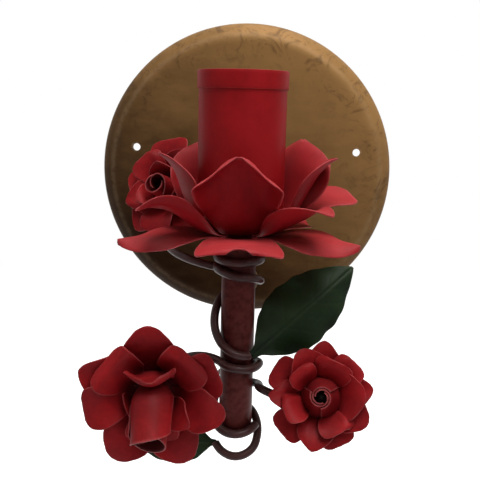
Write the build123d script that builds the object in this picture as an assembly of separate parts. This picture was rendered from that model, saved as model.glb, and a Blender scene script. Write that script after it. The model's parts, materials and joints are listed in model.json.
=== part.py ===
from build123d import *
import math
import os

# Wall sconce: a dished wall plate, a hollow arm and stem, a sheet-steel flower that holds a candle sleeve
# over an E27 lamp holder, and three steel roses and two leaves on bent wire.
# Millimetres. Z is up, the wall is the plane Y = 0, the room is on the -Y side, X is to the right.
# The origin is the centre of the plate, on the wall.

# Clearances
fit_gap = 0.1
overrun = 5.0

# Wall plate
plate_r = 100.0
plate_depth = 14.0
plate_sheet = 1.2
plate_skirt = 6.0
plate_bevel = 8.0
plate_bend_r = 4.0
screw_spacing = 150.0
screw_rise = 16.0
screw_hole_r = 2.5

# Arm and its fixing to the plate
arm_r = 7.0
arm_wall = 1.5
arm_drop = 75.0
arm_tail = 5.0
collar_r = 11.0
collar_h = 3.0
arm_nut_width = 19.0
arm_nut_h = 4.0

# Stem
stem_reach = 95.0
stem_r = 10.0
stem_wall = 1.5
stem_top_drop = 28.0
stem_length = 115.0
plug_h = 8.0

# Threaded nipple and what it clamps
nipple_r = 5.0
nipple_bore_r = 3.8
nipple_nut_width = 14.0
nipple_nut_h = 3.0
spacer_r = 7.5
spacer_h = 10.0
seat_sheet = 1.2
seat_ring_h = 5.0

# Candle sleeve
sleeve_r = 24.7
sleeve_wall = 1.0
sleeve_top_rise = 64.7
band_sheet = 0.7
band_h = 10.0

# Lamp holder
holder_r = 19.5
holder_wall = 2.0
holder_lift = 19.0
holder_cap_h = 22.0
holder_floor = 3.0
holder_ledge_drop = 4.0
insert_h = 10.0
holder_shell_h = 30.0
holder_lip = 2.0
thread_bore_r = 13.3
thread_wall = 0.5
thread_h = 17.0
thread_foot_h = 4.0
terminal_size = 6.0
terminal_side = 10.0
terminal_hole_r = 1.4
small_screw_r = 1.5
contact_sheet = 0.6
contact_width = 6.0
contact_length = 8.5
contact_rise_angle = 14.0
foot_length = 3.0

# Terminal bar, block and earth
bar_t = 3.0
bar_width = 24.0
bar_length = 76.0
bar_tail = 13.0
block_width = 20.0
block_height = 16.0
block_depth = 9.0
block_rise = 34.0
clamp_r = 2.6
clamp_bore_r = 1.5
clamp_length = 13.0
clamp_side = 5.0
block_screw_r = 1.5
block_screw_head_r = 2.6
block_screw_head_h = 1.6
earth_rise = 53.0
earth_screw_r = 2.0
earth_head_r = 3.5
earth_head_h = 2.4
ring_r = 4.0
ring_sheet = 0.8
ring_barrel_r = 1.9
ring_barrel_wall = 0.5
ring_barrel_length = 7.0

# Conductors
core_r = 1.1
core_side = 1.3
core_bend_r = 6.0

# Petal and leaf sheet
petal_sheet = 0.8
hub_sheet = 1.2
flower_hub_r = 12.0
left_hub_r = 10.0
right_hub_r = 7.5
back_hub_r = 7.5

# Vine wire
wire_r = 2.5
wrap_gap = 0.3
rose_wire_run = 12.0

# Petal lengths and widths: flower, then the roses
lower_length = 66.0
lower_width = 45.0
middle_length = 66.0
middle_width = 42.0
upper_length = 70.0
upper_width = 44.0
left_outer_length = 38.0
left_outer_width = 33.0
left_second_length = 37.0
left_second_width = 30.0
left_inner_length = 30.0
left_inner_width = 25.0
right_outer_length = 29.0
right_outer_width = 25.0
right_second_length = 26.0
right_second_width = 22.0
right_inner_length = 20.0
right_inner_width = 17.0
back_outer_length = 32.0
back_outer_width = 29.0
back_second_length = 28.0
back_second_width = 24.0
back_inner_length = 24.0
back_inner_width = 20.0

# Buds, rolled from a strip of sheet
bud_core_r = 3.0
bud_pitch = 1.9
left_bud_h = 34.0
right_bud_h = 17.0
back_bud_h = 20.0

# Rose centres: to the side of the stem axis, out from it or from the wall, above the stem's foot or top
left_rose_side = -46.0
left_rose_out = 23.0
left_rose_over_foot = 28.0
right_rose_side = 50.0
right_rose_out = 19.0
right_rose_over_foot = 25.0
back_rose_side = -46.0
back_rose_reach = 37.0
back_rose_over_top = 16.0

# How a rose's petals are turned on its axis, in degrees, and how its bud is rolled
outer_heading = 90
second_heading = 54
inner_heading = 90
left_bud_turns = 3
small_bud_turns = 2
left_bud_tilt = 24

# Leaves
large_leaf_length = 82.0
large_leaf_width = 38.0
small_leaf_length = 54.0
small_leaf_width = 27.0

# Outline of a petal along its length: place, width, and how far its sides lift
petal_place_shares = (0, 0.12, 0.30, 0.50, 0.70, 0.87, 1)
broad_width_shares = (0.26, 0.30, 0.58, 0.90, 1.0, 0.66, 0.10)
cupped_lift_shares = (0, 0, 0.03, 0.13, 0.13, 0.06, 0.02)
flat_lift_shares = (0, 0, 0.02, 0.02, -0.02, -0.06, -0.04)
rose_lift_shares = (0, 0, 0.05, 0.10, 0.10, 0.05, 0.02)
leaf_place_shares = (0, 0.08, 0.25, 0.45, 0.65, 0.85, 1)
leaf_width_shares = (0.14, 0.22, 0.78, 1.0, 0.88, 0.46, 0.06)
large_leaf_seat_share = 0.68
small_leaf_seat_share = 1.0
leaf_lift_shares = (-0.01, -0.02, -0.12, -0.16, -0.13, -0.08, -0.02)

# Rise of a petal, in degrees, at each of those places
lower_rises = (0, 0, 6, 2, -3, -6, -6)
middle_rises = (0, 0, 20, 34, 22, 10, 3)
upper_rises = (0, 0, 30, 66, 66, 58, 40)
outer_rises = (0, 0, 26, 24, 14, 0, -14)
second_rises = (0, 0, 46, 42, 30, 14, 0)
inner_rises = (0, 0, 80, 82, 78, 66, 48)
large_leaf_rises = (8, 8, 4, 0, -4, -8, -10)
small_leaf_rises = (10, 8, 4, 0, -6, -10, -12)

# Heights and radii that follow from those sizes
stem_top = -stem_top_drop
stem_bottom = stem_top - stem_length
plug_r = stem_r - stem_wall - fit_gap
arm_bore_r = arm_r - arm_wall
lower_hub_z = stem_top
middle_hub_z = lower_hub_z + hub_sheet
upper_hub_z = middle_hub_z + hub_sheet
spacer_z = upper_hub_z + hub_sheet
seat_z = spacer_z + spacer_h
sleeve_z = seat_z + seat_sheet
holder_z = sleeve_z + holder_lift
insert_z = holder_z + holder_cap_h - holder_ledge_drop
insert_top = insert_z + insert_h
shell_z = holder_z + holder_cap_h
holder_bore_r = holder_r - holder_wall
nipple_z = stem_top - plug_h
nipple_top = holder_z + holder_floor + nipple_nut_h + fit_gap
plate_face = plate_depth - plate_sheet
bar_back = plate_face - bar_t
block_z = block_rise - arm_drop
wrap_r = stem_r + wire_r + wrap_gap


def tube(outer_r, bore_r, height):
    low = (Align.CENTER, Align.CENTER, Align.MIN)
    bore = Pos(0, 0, -overrun) * Cylinder(bore_r, height + 2 * overrun, align=low)
    return Cylinder(outer_r, height, align=low) - bore


def rod(radius, height):
    return Cylinder(radius, height, align=(Align.CENTER, Align.CENTER, Align.MIN))


def hex_nut(width, bore_r, height):
    across_corners_r = width / math.sqrt(3)
    blank = extrude(RegularPolygon(across_corners_r, 6), height)
    return blank - Pos(0, 0, -overrun) * rod(bore_r, height + 2 * overrun)


def from_wall(reach, height=0, side=0):
    """A place whose local Z points away from the wall, into the room."""
    return Pos(side, -reach, height) * Rot(X=90)


def on_stem(height, side=0, out=0):
    """A place on the stem axis, upright."""
    return Pos(side, -stem_reach - out, height)


# Wall plate
def wall_plate():
    mid_r = plate_r - plate_sheet / 2
    mid_depth = plate_depth - plate_sheet / 2
    section = FilletPolyline(
        (0, -mid_depth),
        (mid_r - plate_bevel, -mid_depth),
        (mid_r, -plate_skirt),
        (mid_r, 0),
        radius=plate_bend_r,
    )
    plate = revolve(trace(section, line_width=plate_sheet), Axis.Y)
    for side in (-1, 1):
        hole = from_wall(-overrun, screw_rise, side * screw_spacing / 2)
        plate -= hole * rod(screw_hole_r, plate_depth + 2 * overrun)
    return plate - from_wall(-overrun, -arm_drop) * rod(arm_r + fit_gap, plate_depth + 2 * overrun)


# Arm, its collar and its nut
def arm_tube():
    arm = from_wall(arm_tail, -arm_drop) * tube(arm_r, arm_bore_r, stem_reach - arm_tail)
    saddle = on_stem(stem_bottom) * rod(stem_r + fit_gap, stem_length)
    arm -= saddle
    return arm


def arm_collar():
    return from_wall(plate_depth, -arm_drop) * tube(collar_r, arm_r + fit_gap, collar_h)


def arm_nut():
    return from_wall(bar_back - arm_nut_h, -arm_drop) * hex_nut(arm_nut_width, arm_r + fit_gap, arm_nut_h)


# Bar, terminal block and earth, in the dish of the plate
def terminal_bar():
    low = (Align.CENTER, Align.MIN, Align.MIN)
    bar = from_wall(bar_back, -arm_drop - bar_tail) * Box(bar_width, bar_length, bar_t, align=low)
    bar -= from_wall(0, -arm_drop) * rod(arm_r + fit_gap, plate_depth)
    bar -= from_wall(0, block_z) * rod(block_screw_r + fit_gap, plate_depth)
    return bar - from_wall(0, earth_rise - arm_drop) * rod(earth_screw_r + fit_gap, plate_depth)


def terminal_block():
    low = (Align.CENTER, Align.CENTER, Align.MIN)
    blank = Box(block_width, block_height, block_depth, align=low)
    block = from_wall(bar_back - block_depth, block_z) * blank
    block = fillet(block.edges().filter_by(Axis.Y), clamp_bore_r)
    for side in (-1, 1):
        passage = on_block(side * clamp_side, -block_height) * rod(clamp_r + fit_gap, 2 * block_height)
        block -= passage
        for well in screw_places(side):
            block -= well * rod(small_screw_r + fit_gap, block_depth / 2)
    head = from_wall(bar_back - block_depth - overrun, block_z)
    block -= head * rod(block_screw_head_r + fit_gap, overrun + block_screw_head_h)
    return block - from_wall(0, block_z) * rod(block_screw_r + fit_gap, plate_depth)


def on_block(side, rise):
    """Upright place on the middle plane of the block."""
    return Pos(side, -(bar_back - block_depth / 2), block_z + rise)


def screw_places(side):
    rise = clamp_length / 4
    back = bar_back - block_depth
    return [from_wall(back, block_z + up * rise, side * clamp_side) for up in (-1, 1)]


def terminal_clamps():
    clamps = []
    for side in (-1, 1):
        clamp = on_block(side * clamp_side, -clamp_length / 2) * tube(clamp_r, clamp_bore_r, clamp_length)
        for well in screw_places(side):
            clamp -= well * rod(small_screw_r + fit_gap, block_depth / 2)
        clamps.append(clamp)
    return Compound(children=clamps)


def slotted(radius, height):
    """A grub screw whose slot faces local -Z."""
    slot = Box(3 * radius, radius / 3, radius, align=(Align.CENTER, Align.CENTER, Align.CENTER))
    return rod(radius, height) - slot


def terminal_screws():
    length = block_depth / 2 - core_r - fit_gap
    screws = [place * slotted(small_screw_r, length) for side in (-1, 1) for place in screw_places(side)]
    return Compound(children=screws)


def block_screw():
    back = from_wall(bar_back - block_depth, block_z)
    head = back * slotted(block_screw_head_r, block_screw_head_h)
    shank_h = block_depth + bar_t - block_screw_head_h
    return head + back * Pos(0, 0, block_screw_head_h) * rod(block_screw_r, shank_h)


def earth_screw():
    back = from_wall(bar_back - ring_sheet - earth_head_h, earth_rise - arm_drop)
    head = back * slotted(earth_head_r, earth_head_h)
    return head + back * Pos(0, 0, earth_head_h) * rod(earth_screw_r, ring_sheet + bar_t)


def earth_ring():
    place = from_wall(bar_back - ring_sheet, earth_rise - arm_drop)
    eye = tube(ring_r, earth_screw_r + fit_gap, ring_sheet)
    low = (Align.CENTER, Align.MIN, Align.MIN)
    tongue = Pos(0, ring_r - ring_sheet, 0) * Box(ring_barrel_r, ring_barrel_r, ring_sheet, align=low)
    barrel = Pos(0, ring_r, ring_sheet - ring_barrel_r) * Rot(X=-90)
    barrel *= tube(ring_barrel_r, ring_barrel_r - ring_barrel_wall, ring_barrel_length)
    return place * (eye + tongue + barrel)


# Stem, plug, nipple and nuts
def stem_tube():
    stem = on_stem(stem_bottom) * tube(stem_r, stem_r - stem_wall, stem_length)
    return stem - from_wall(arm_tail, -arm_drop) * rod(arm_bore_r, stem_reach - arm_tail)


def stem_plug():
    return on_stem(stem_top - plug_h) * tube(plug_r, nipple_r + fit_gap, plug_h)


def nipple():
    return on_stem(nipple_z) * tube(nipple_r, nipple_bore_r, nipple_top - nipple_z)


def nipple_nuts():
    nut = hex_nut(nipple_nut_width, nipple_r + fit_gap, nipple_nut_h)
    heights = (sleeve_z, holder_z - nipple_nut_h, holder_z + holder_floor)
    return Compound(children=[on_stem(height) * nut for height in heights])


def flower_spacer():
    return on_stem(spacer_z) * tube(spacer_r, nipple_r + fit_gap, spacer_h)


def sleeve_seat():
    ring_r_out = sleeve_r - sleeve_wall - 2 * fit_gap
    seat = tube(sleeve_r, nipple_r + fit_gap, seat_sheet)
    ring = tube(ring_r_out, ring_r_out - seat_sheet, seat_sheet + seat_ring_h)
    return on_stem(seat_z) * (seat + ring)


# Candle sleeve and band
def candle_sleeve():
    return on_stem(sleeve_z) * tube(sleeve_r, sleeve_r - sleeve_wall, sleeve_top_rise - sleeve_z)


def sleeve_band():
    bore = sleeve_r + fit_gap
    return on_stem(sleeve_top_rise - band_h) * tube(bore + band_sheet, bore, band_h)


# Lamp holder
def holder_cap():
    cap = rod(holder_r, holder_cap_h)
    cap = chamfer(cap.edges().group_by(Axis.Z)[0], holder_wall)
    ledge_r = holder_bore_r - holder_wall
    cap -= Pos(0, 0, holder_floor) * rod(ledge_r, holder_cap_h)
    cap -= Pos(0, 0, holder_cap_h - holder_ledge_drop) * rod(holder_bore_r, holder_cap_h)
    return on_stem(holder_z) * (cap - Pos(0, 0, -overrun) * rod(nipple_r + fit_gap, holder_cap_h))


def holder_insert():
    insert = rod(holder_bore_r - fit_gap, insert_h)
    for side in (-1, 1):
        size = terminal_size + 2 * fit_gap
        pocket = Box(size, size, size, align=(Align.CENTER, Align.CENTER, Align.MIN))
        insert -= Pos(side * terminal_side, 0, 0) * pocket
    return on_stem(insert_z) * insert


def holder_terminals():
    low = (Align.CENTER, Align.CENTER, Align.MIN)
    block = Box(terminal_size, terminal_size, terminal_size, align=low)
    block -= Pos(0, 0, -overrun) * rod(terminal_hole_r, terminal_size + 2 * overrun)
    screw_hole = Rot(X=90) * rod(small_screw_r, terminal_size)
    block -= Pos(0, 0, terminal_size / 2) * screw_hole
    return Compound(children=[on_stem(insert_z, side * terminal_side) * block for side in (-1, 1)])


def holder_terminal_screws():
    screws = []
    for side in (-1, 1):
        place = on_stem(insert_z + terminal_size / 2, side * terminal_side, terminal_size / 2)
        length = terminal_size / 2 - core_r - fit_gap
        screws.append(place * Rot(X=-90) * slotted(small_screw_r - fit_gap, length))
    return Compound(children=screws)


def holder_shell():
    shell = tube(holder_r, holder_bore_r, holder_shell_h)
    lip = tube(holder_r, thread_bore_r + 2 * thread_wall, holder_lip)
    return on_stem(shell_z) * (shell + Pos(0, 0, holder_shell_h - holder_lip) * lip)


def lamp_thread():
    """The threaded shell, on a wider foot that stands on the insert round the contact."""
    foot_bore_r = thread_bore_r + thread_wall
    foot = tube(foot_bore_r + thread_wall, foot_bore_r, thread_foot_h)
    step = tube(foot_bore_r + thread_wall, thread_bore_r, thread_wall)
    thread = tube(foot_bore_r, thread_bore_r, thread_h)
    return on_stem(insert_top) * (foot + Pos(0, 0, thread_foot_h) * (step + thread))


def contact_root():
    """Where the centre contact bends: on the insert, beside the axis."""
    return on_stem(insert_top, -contact_length + contact_width / 4)


def centre_contact():
    low = (Align.MIN, Align.CENTER, Align.MIN)
    tongue = Box(contact_length, contact_width, contact_sheet, align=low)
    return contact_root() * Pos(0, 0, contact_sheet) * Rot(Y=-contact_rise_angle) * tongue


def contact_foot():
    low = (Align.MAX, Align.CENTER, Align.MIN)
    foot = Box(foot_length, contact_width, contact_sheet, align=low)
    return contact_root() * Pos(-3 * fit_gap, 0, 0) * foot


# Conductors from the block through arm, stem and nipple to the holder
def conductor(side):
    inner = side * core_side
    middle = bar_back - block_depth / 2
    # The drop behind the nut, the arm, the stem, and the spread to the terminals
    drop_reach = arm_tail - core_r - core_r
    route = [
        (side * clamp_side, -middle, block_z),
        (side * clamp_side, -middle, block_z - block_height / 2 - core_bend_r / 2),
        (inner, -drop_reach, -arm_drop + 2 * core_bend_r),
        (inner, -drop_reach, -arm_drop),
        (inner, -stem_reach, -arm_drop),
        (inner, -stem_reach, nipple_top + fit_gap),
        (side * terminal_side, -stem_reach, insert_z - core_bend_r / 2),
        (side * terminal_side, -stem_reach, insert_z + terminal_size / 2),
    ]
    small = core_bend_r / 3
    bends = [small, small, small, core_bend_r, small, small]
    path = FilletPolyline(*route, radius=bends)
    return sweep(Plane(path @ 0, z_dir=path % 0) * Circle(core_r), path=path)


# Petals: a blade is a folded strip of sheet, creased along its middle line, with flat facets
def blade_rows(length, width, sheet, rises, places, widths, lifts, start):
    """For each place along it: the under and upper points of its left edge, middle and right edge."""
    rows = []
    x = start
    z = 0
    for i, place in enumerate(places):
        if i:
            step = length * (place - places[i - 1])
            mean = math.radians((rises[i] + rises[i - 1]) / 2)
            x += step * math.cos(mean)
            z += step * math.sin(mean)
        rise = math.radians(rises[i])
        up = Vector(-math.sin(rise), 0, math.cos(rise))
        row = []
        for side in (-1, 0, 1):
            point = Vector(x, side * width * widths[i] / 2, z) + up * (width * lifts[i] * abs(side))
            row.append((point - up * (sheet / 2), point + up * (sheet / 2)))
        rows.append(row)
    return rows


def two_triangles(a, b, c, d):
    return [Face(Wire.make_polygon([a, b, c])), Face(Wire.make_polygon([a, c, d]))]


def blade(length, width, sheet, rises, places, widths, lifts, start=0, yaw=0):
    """A thin blade that leaves along +X at radius start and rises as it goes."""
    rows = blade_rows(length, width, sheet, rises, places, widths, lifts, start)
    faces = []
    for near, far in zip(rows, rows[1:]):
        for left, right in ((0, 1), (1, 2)):
            for skin in (0, 1):
                corners = [near[left][skin], near[right][skin], far[right][skin], far[left][skin]]
                faces += two_triangles(*corners)
        for edge in (0, 2):
            faces += two_triangles(near[edge][0], near[edge][1], far[edge][1], far[edge][0])
    for row in (rows[0], rows[-1]):
        for left in (0, 1):
            corners = [row[left][0], row[left][1], row[left + 1][1], row[left + 1][0]]
            faces.append(Face(Wire.make_polygon(corners)))
    return Rot(Z=yaw) * Solid(Shell(faces))


def leaned(rises, lean):
    """The rises of one petal, bent up or down by lean degrees beyond its neck."""
    return [rise if i < 3 else rise + lean for i, rise in enumerate(rises)]


def petal_blank(hub_r, hole_r, length, width, rises, lifts, headings, leans, size_shares):
    """A hub with its petals, on a local frame whose Z is the flower's axis."""
    blank = rod(hub_r, hub_sheet)
    for heading, lean, size in zip(headings, leans, size_shares):
        start = hub_r - size * length * petal_place_shares[1]
        petal = blade(
            size * length,
            width,
            petal_sheet,
            leaned(rises, lean),
            petal_place_shares,
            broad_width_shares,
            lifts,
            start,
            heading,
        )
        blank += Pos(0, 0, hub_sheet / 2) * petal
    return blank - Pos(0, 0, -overrun) * rod(hole_r, hub_sheet + 2 * overrun)


# Flower on the stem, whose petals are turned from the front of the sconce
def front(turns):
    return [turn - 90 for turn in turns]


def flower_layer(level_z, length, width, rises, lifts, turns, leans, size_shares):
    hole_r = nipple_r + fit_gap
    headings = front(turns)
    blank = petal_blank(
        flower_hub_r, hole_r, length, width, rises, lifts, headings, leans, size_shares
    )
    return on_stem(level_z) * blank


def flower_petals_lower():
    turns = (0, 72, 144, 216, 288)
    leans = (4, -1, 4, -8, -2)
    size_shares = (1, 1, 0.9, 0.6, 1)
    sheet = (lower_hub_z, lower_length, lower_width, lower_rises, flat_lift_shares)
    return flower_layer(*sheet, turns, leans, size_shares)


def flower_petals_middle():
    turns = (44, 106, 180, 252, 312)
    leans = (-2, -4, 0, 4, 6)
    size_shares = (0.98, 1, 0.9, 0.72, 0.95)
    sheet = (middle_hub_z, middle_length, middle_width, middle_rises, flat_lift_shares)
    return flower_layer(*sheet, turns, leans, size_shares)


def flower_petals_upper():
    turns = (0, 70, 130, 216, 288)
    leans = (14, 0, 9, 8, 5)
    size_shares = (0.88, 1, 1, 0.98, 0.98)
    sheet = (upper_hub_z, upper_length, upper_width, upper_rises, cupped_lift_shares)
    return flower_layer(*sheet, turns, leans, size_shares)


# Roses: each stands on the end of its wire and faces along its own axis
def rose_frame(side, reach, height, facing):
    return Plane((side, -reach, height), x_dir=(1, 0, 0), z_dir=facing).location


def left_rose_place():
    reach = stem_reach + left_rose_out
    return rose_frame(left_rose_side, reach, stem_bottom + left_rose_over_foot, (0.05, -1.0, 0.0))


def right_rose_place():
    reach = stem_reach + right_rose_out
    return rose_frame(right_rose_side, reach, stem_bottom + right_rose_over_foot, (-0.10, -0.91, 0.40))


def back_rose_place():
    return rose_frame(back_rose_side, back_rose_reach, stem_top + back_rose_over_top, (-0.45, -0.80, 0.38))


def rose_blank(hub_r, length, width, rises, headings):
    hole = wire_r + fit_gap
    leans = [0] * len(headings)
    size_shares = [1] * len(headings)
    return petal_blank(
        hub_r, hole, length, width, rises, rose_lift_shares, headings, leans, size_shares
    )


def evenly(count, first):
    return [first + 360 * i / count for i in range(count)]


def bud(height, turns, tilt=0):
    """A strip rolled up in half circles of growing radius, leaning down by tilt degrees."""
    line = []
    radius = bud_core_r
    centre = 0
    for half in range(2 * turns):
        way = 1 if half % 2 == 0 else -1
        line.append(CenterArc((centre, 0), radius, 0 if way > 0 else 180, 180))
        centre += way * bud_pitch / 2
        radius += bud_pitch / 2
    lean = math.radians(tilt)
    return extrude(trace(line, line_width=petal_sheet), height, dir=(0, -math.sin(lean), math.cos(lean)))


# Vine wire: biarcs through places round the stem, then out to what the wire carries
def round_stem(turn_shares):
    """Points from (turn, reach, drop) shares: of a full turn, of the wrap radius, of the stem length."""
    points = []
    for turn, reach, drop in turn_shares:
        angle = 2 * math.pi * turn
        radius = wrap_r * reach
        points.append(
            Vector(
                radius * math.sin(angle),
                -stem_reach - radius * math.cos(angle),
                stem_top - stem_length * drop,
            )
        )
    return points


def tangents(points, last):
    """Direction of the circle through each point and its neighbours."""
    inner = []
    for before, point, after in zip(points, points[1:], points[2:]):
        a = point - before
        b = after - point
        inner.append((a / (a.length**2) + b / (b.length**2)).normalized())
    first_run = (points[1] - points[0]).normalized()
    first = (first_run * (2 * inner[0].dot(first_run)) - inner[0]).normalized()
    last_run = (points[-1] - points[-2]).normalized()
    free = (last_run * (2 * inner[-1].dot(last_run)) - inner[-1]).normalized()
    return [first] + inner + [last if last is not None else free]


def biarc(start, ahead, end, arrive):
    """Two tangent arcs that leave start along ahead and reach end along arrive."""
    chord = end - start
    both = ahead + arrive
    spread = 2 * (1 - ahead.dot(arrive))
    reach = chord.dot(both)
    arm = (math.sqrt(reach**2 + spread * chord.dot(chord)) - reach) / spread
    middle = (start + ahead * arm + end - arrive * arm) * 0.5
    turn_in = (end - arrive * arm - middle).normalized()
    return [Edge.make_tangent_arc(start, ahead, middle), Edge.make_tangent_arc(middle, turn_in, end)]


def vine(name, points, last=None, tail=0):
    """One unbroken wire, with its nearest approach to itself printed."""
    ways = tangents(points, last)
    edges = []
    for i in range(len(points) - 1):
        edges += biarc(points[i], ways[i], points[i + 1], ways[i + 1])
    if tail:
        edges.append(Edge.make_line(points[-1], points[-1] + ways[-1] * tail))
    path = Wire(edges)
    print(name, "least gap to itself", round(self_gap(path), 2))
    return sweep(Plane(path @ 0, z_dir=path % 0) * Circle(wire_r), path=path)


def self_gap(path):
    count = 240
    points = [path @ (i / count) for i in range(count + 1)]
    apart = math.ceil(count * 2 * math.pi * wire_r / path.length)
    pairs = [(p - q).length for i, p in enumerate(points) for q in points[i + apart :]]
    return min(pairs, default=math.inf) - 2 * wire_r


def rose_end(place, back):
    """A point behind a rose on its axis, and the way the wire arrives there."""
    here = Vector(*(place * Pos(0, 0, -back)).position)
    ahead = Vector(*(place * Pos(0, 0, 0)).position) - here
    return here, ahead.normalized()


upper_vine_turn_shares = (
    (-0.31, 1.00, 0.104),
    (-0.06, 1.00, 0.119),
    (0.19, 1.00, 0.117),
    (0.44, 1.00, 0.126),
    (0.69, 1.00, 0.158),
    (0.94, 1.00, 0.182),
    (1.19, 1.00, 0.216),
    (1.44, 1.00, 0.270),
    (1.62, 1.02, 0.330),
    (1.73, 1.06, 0.410),
    (1.81, 1.05, 0.500),
    (1.92, 1.02, 0.565),
    (2.01, 1.00, 0.596),
    (2.10, 1.00, 0.606),
)
left_vine_turn_shares = (
    (-0.155, 1.10, 0.640),
    (-0.06, 1.03, 0.662),
    (0.04, 1.00, 0.674),
    (0.14, 1.02, 0.678),
    (0.24, 1.06, 0.676),
    (0.34, 1.02, 0.690),
    (0.45, 1.00, 0.720),
    (0.56, 1.00, 0.750),
    (0.64, 1.00, 0.768),
)
right_vine_turn_shares = (
    (0.20, 1.16, 0.795),
    (0.30, 1.08, 0.808),
    (0.40, 1.01, 0.822),
    (0.50, 1.00, 0.836),
    (0.60, 1.00, 0.852),
    (0.69, 1.02, 0.876),
    (0.76, 1.06, 0.940),
    (0.86, 1.03, 1.004),
    (0.94, 1.01, 1.024),
    (1.02, 1.00, 1.028),
    (1.11, 1.01, 1.018),
    (1.19, 1.03, 1.002),
)
leaf_vine_turn_shares = (
    (0.56, 1.00, 0.952),
    (0.48, 1.00, 0.955),
    (0.39, 1.00, 0.968),
    (0.30, 1.02, 1.000),
    (0.22, 1.10, 1.060),
    (0.13, 1.10, 1.125),
    (0.02, 0.95, 1.155),
    (-0.10, 0.85, 1.150),
    (-0.20, 0.95, 1.120),
)
back_vine_turn_shares = (
    (0.40, 1.00, 0.205),
    (0.50, 1.01, 0.203),
    (0.60, 1.06, 0.196),
)


def vine_upper():
    return vine("vine_upper", round_stem(upper_vine_turn_shares))


def vine_left_rose():
    points = round_stem(left_vine_turn_shares)[::-1]
    end, ahead = rose_end(left_rose_place(), rose_wire_run)
    return vine("vine_left_rose", points + [end], ahead, rose_wire_run + 3 * hub_sheet)


def vine_right_rose():
    points = round_stem(right_vine_turn_shares)[::-1]
    end, ahead = rose_end(right_rose_place(), rose_wire_run)
    return vine("vine_right_rose", points + [end], ahead, rose_wire_run + 3 * hub_sheet)


def vine_leaf():
    return vine("vine_leaf", round_stem(leaf_vine_turn_shares))


def vine_back_rose():
    points = round_stem(back_vine_turn_shares)
    end, ahead = rose_end(back_rose_place(), rose_wire_run)
    return vine("vine_back_rose", points + [end], ahead, rose_wire_run + 3 * hub_sheet)


# Leaves
def leaf(base, along, normal, length, width, rises):
    frame = Plane(base, x_dir=along, z_dir=normal)
    return frame.location * blade(
        length, width, petal_sheet, rises, leaf_place_shares, leaf_width_shares, leaf_lift_shares
    )


def wire_end(turn_shares, past_share):
    """Just past the end of a wire, where a leaf is welded on."""
    points = round_stem(turn_shares)
    return points[-1] + tangents(points, None)[-1] * (wire_r * past_share)


def leaf_large():
    base = wire_end(upper_vine_turn_shares, large_leaf_seat_share)
    along = (0.731, 0.315, 0.605)
    normal = (0.138, -0.937, 0.321)
    return leaf(base, along, normal, large_leaf_length, large_leaf_width, large_leaf_rises)


def leaf_small():
    base = wire_end(leaf_vine_turn_shares, small_leaf_seat_share)
    along = (-0.97, 0.10, -0.20)
    normal = (-0.15, -0.85, 0.50)
    return leaf(base, along, normal, small_leaf_length, small_leaf_width, small_leaf_rises)


# Headings of the petals of the left rose, as seen from the room: 0 is to the right, 90 is up
left_outer_headings = (161, 101, 35, -74, -121)
left_second_headings = (128, 66, -14, -96, -160)
left_inner_headings = (90, 198, 342)


def rose_layers(place, hub_r, layers):
    """The three petal layers of a rose, stacked hub on hub."""
    made = []
    for level, (length, width, rises, headings) in enumerate(layers):
        blank = rose_blank(hub_r, length, width, rises, headings)
        made.append(place * Pos(0, 0, level * hub_sheet) * blank)
    return made


def rose_bud(place, height, turns, tilt=0):
    return place * Pos(0, 0, 3 * hub_sheet) * bud(height, turns, tilt)


def left_rose():
    layers = (
        (left_outer_length, left_outer_width, outer_rises, left_outer_headings),
        (left_second_length, left_second_width, second_rises, left_second_headings),
        (left_inner_length, left_inner_width, inner_rises, left_inner_headings),
    )
    made = rose_layers(left_rose_place(), left_hub_r, layers)
    return made + [rose_bud(left_rose_place(), left_bud_h, left_bud_turns, left_bud_tilt)]


def right_rose():
    layers = (
        (right_outer_length, right_outer_width, outer_rises, evenly(5, outer_heading)),
        (right_second_length, right_second_width, second_rises, evenly(5, second_heading)),
        (right_inner_length, right_inner_width, inner_rises, evenly(3, inner_heading)),
    )
    made = rose_layers(right_rose_place(), right_hub_r, layers)
    return made + [rose_bud(right_rose_place(), right_bud_h, small_bud_turns)]


def back_rose():
    layers = (
        (back_outer_length, back_outer_width, outer_rises, evenly(5, outer_heading)),
        (back_second_length, back_second_width, second_rises, evenly(5, second_heading)),
        (back_inner_length, back_inner_width, inner_rises, evenly(3, inner_heading)),
    )
    made = rose_layers(back_rose_place(), back_hub_r, layers)
    return made + [rose_bud(back_rose_place(), back_bud_h, small_bud_turns)]


pieces = {
    "wall_plate": wall_plate(),
    "arm_tube": arm_tube(),
    "arm_collar": arm_collar(),
    "arm_nut": arm_nut(),
    "terminal_bar": terminal_bar(),
    "terminal_block": terminal_block(),
    "terminal_clamps": terminal_clamps(),
    "terminal_screws": terminal_screws(),
    "block_screw": block_screw(),
    "earth_screw": earth_screw(),
    "earth_ring": earth_ring(),
    "stem_tube": stem_tube(),
    "stem_plug": stem_plug(),
    "nipple": nipple(),
    "nipple_nuts": nipple_nuts(),
    "flower_spacer": flower_spacer(),
    "sleeve_seat": sleeve_seat(),
    "candle_sleeve": candle_sleeve(),
    "sleeve_band": sleeve_band(),
    "holder_cap": holder_cap(),
    "holder_insert": holder_insert(),
    "holder_terminals": holder_terminals(),
    "holder_terminal_screws": holder_terminal_screws(),
    "holder_shell": holder_shell(),
    "lamp_thread": lamp_thread(),
    "centre_contact": centre_contact(),
    "contact_foot": contact_foot(),
    "live_wire": conductor(-1),
    "neutral_wire": conductor(1),
    "flower_petals_lower": flower_petals_lower(),
    "flower_petals_middle": flower_petals_middle(),
    "flower_petals_upper": flower_petals_upper(),
    "vine_upper": vine_upper(),
    "vine_left_rose": vine_left_rose(),
    "vine_right_rose": vine_right_rose(),
    "vine_leaf": vine_leaf(),
    "vine_back_rose": vine_back_rose(),
    "leaf_large": leaf_large(),
    "leaf_small": leaf_small(),
}
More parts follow.
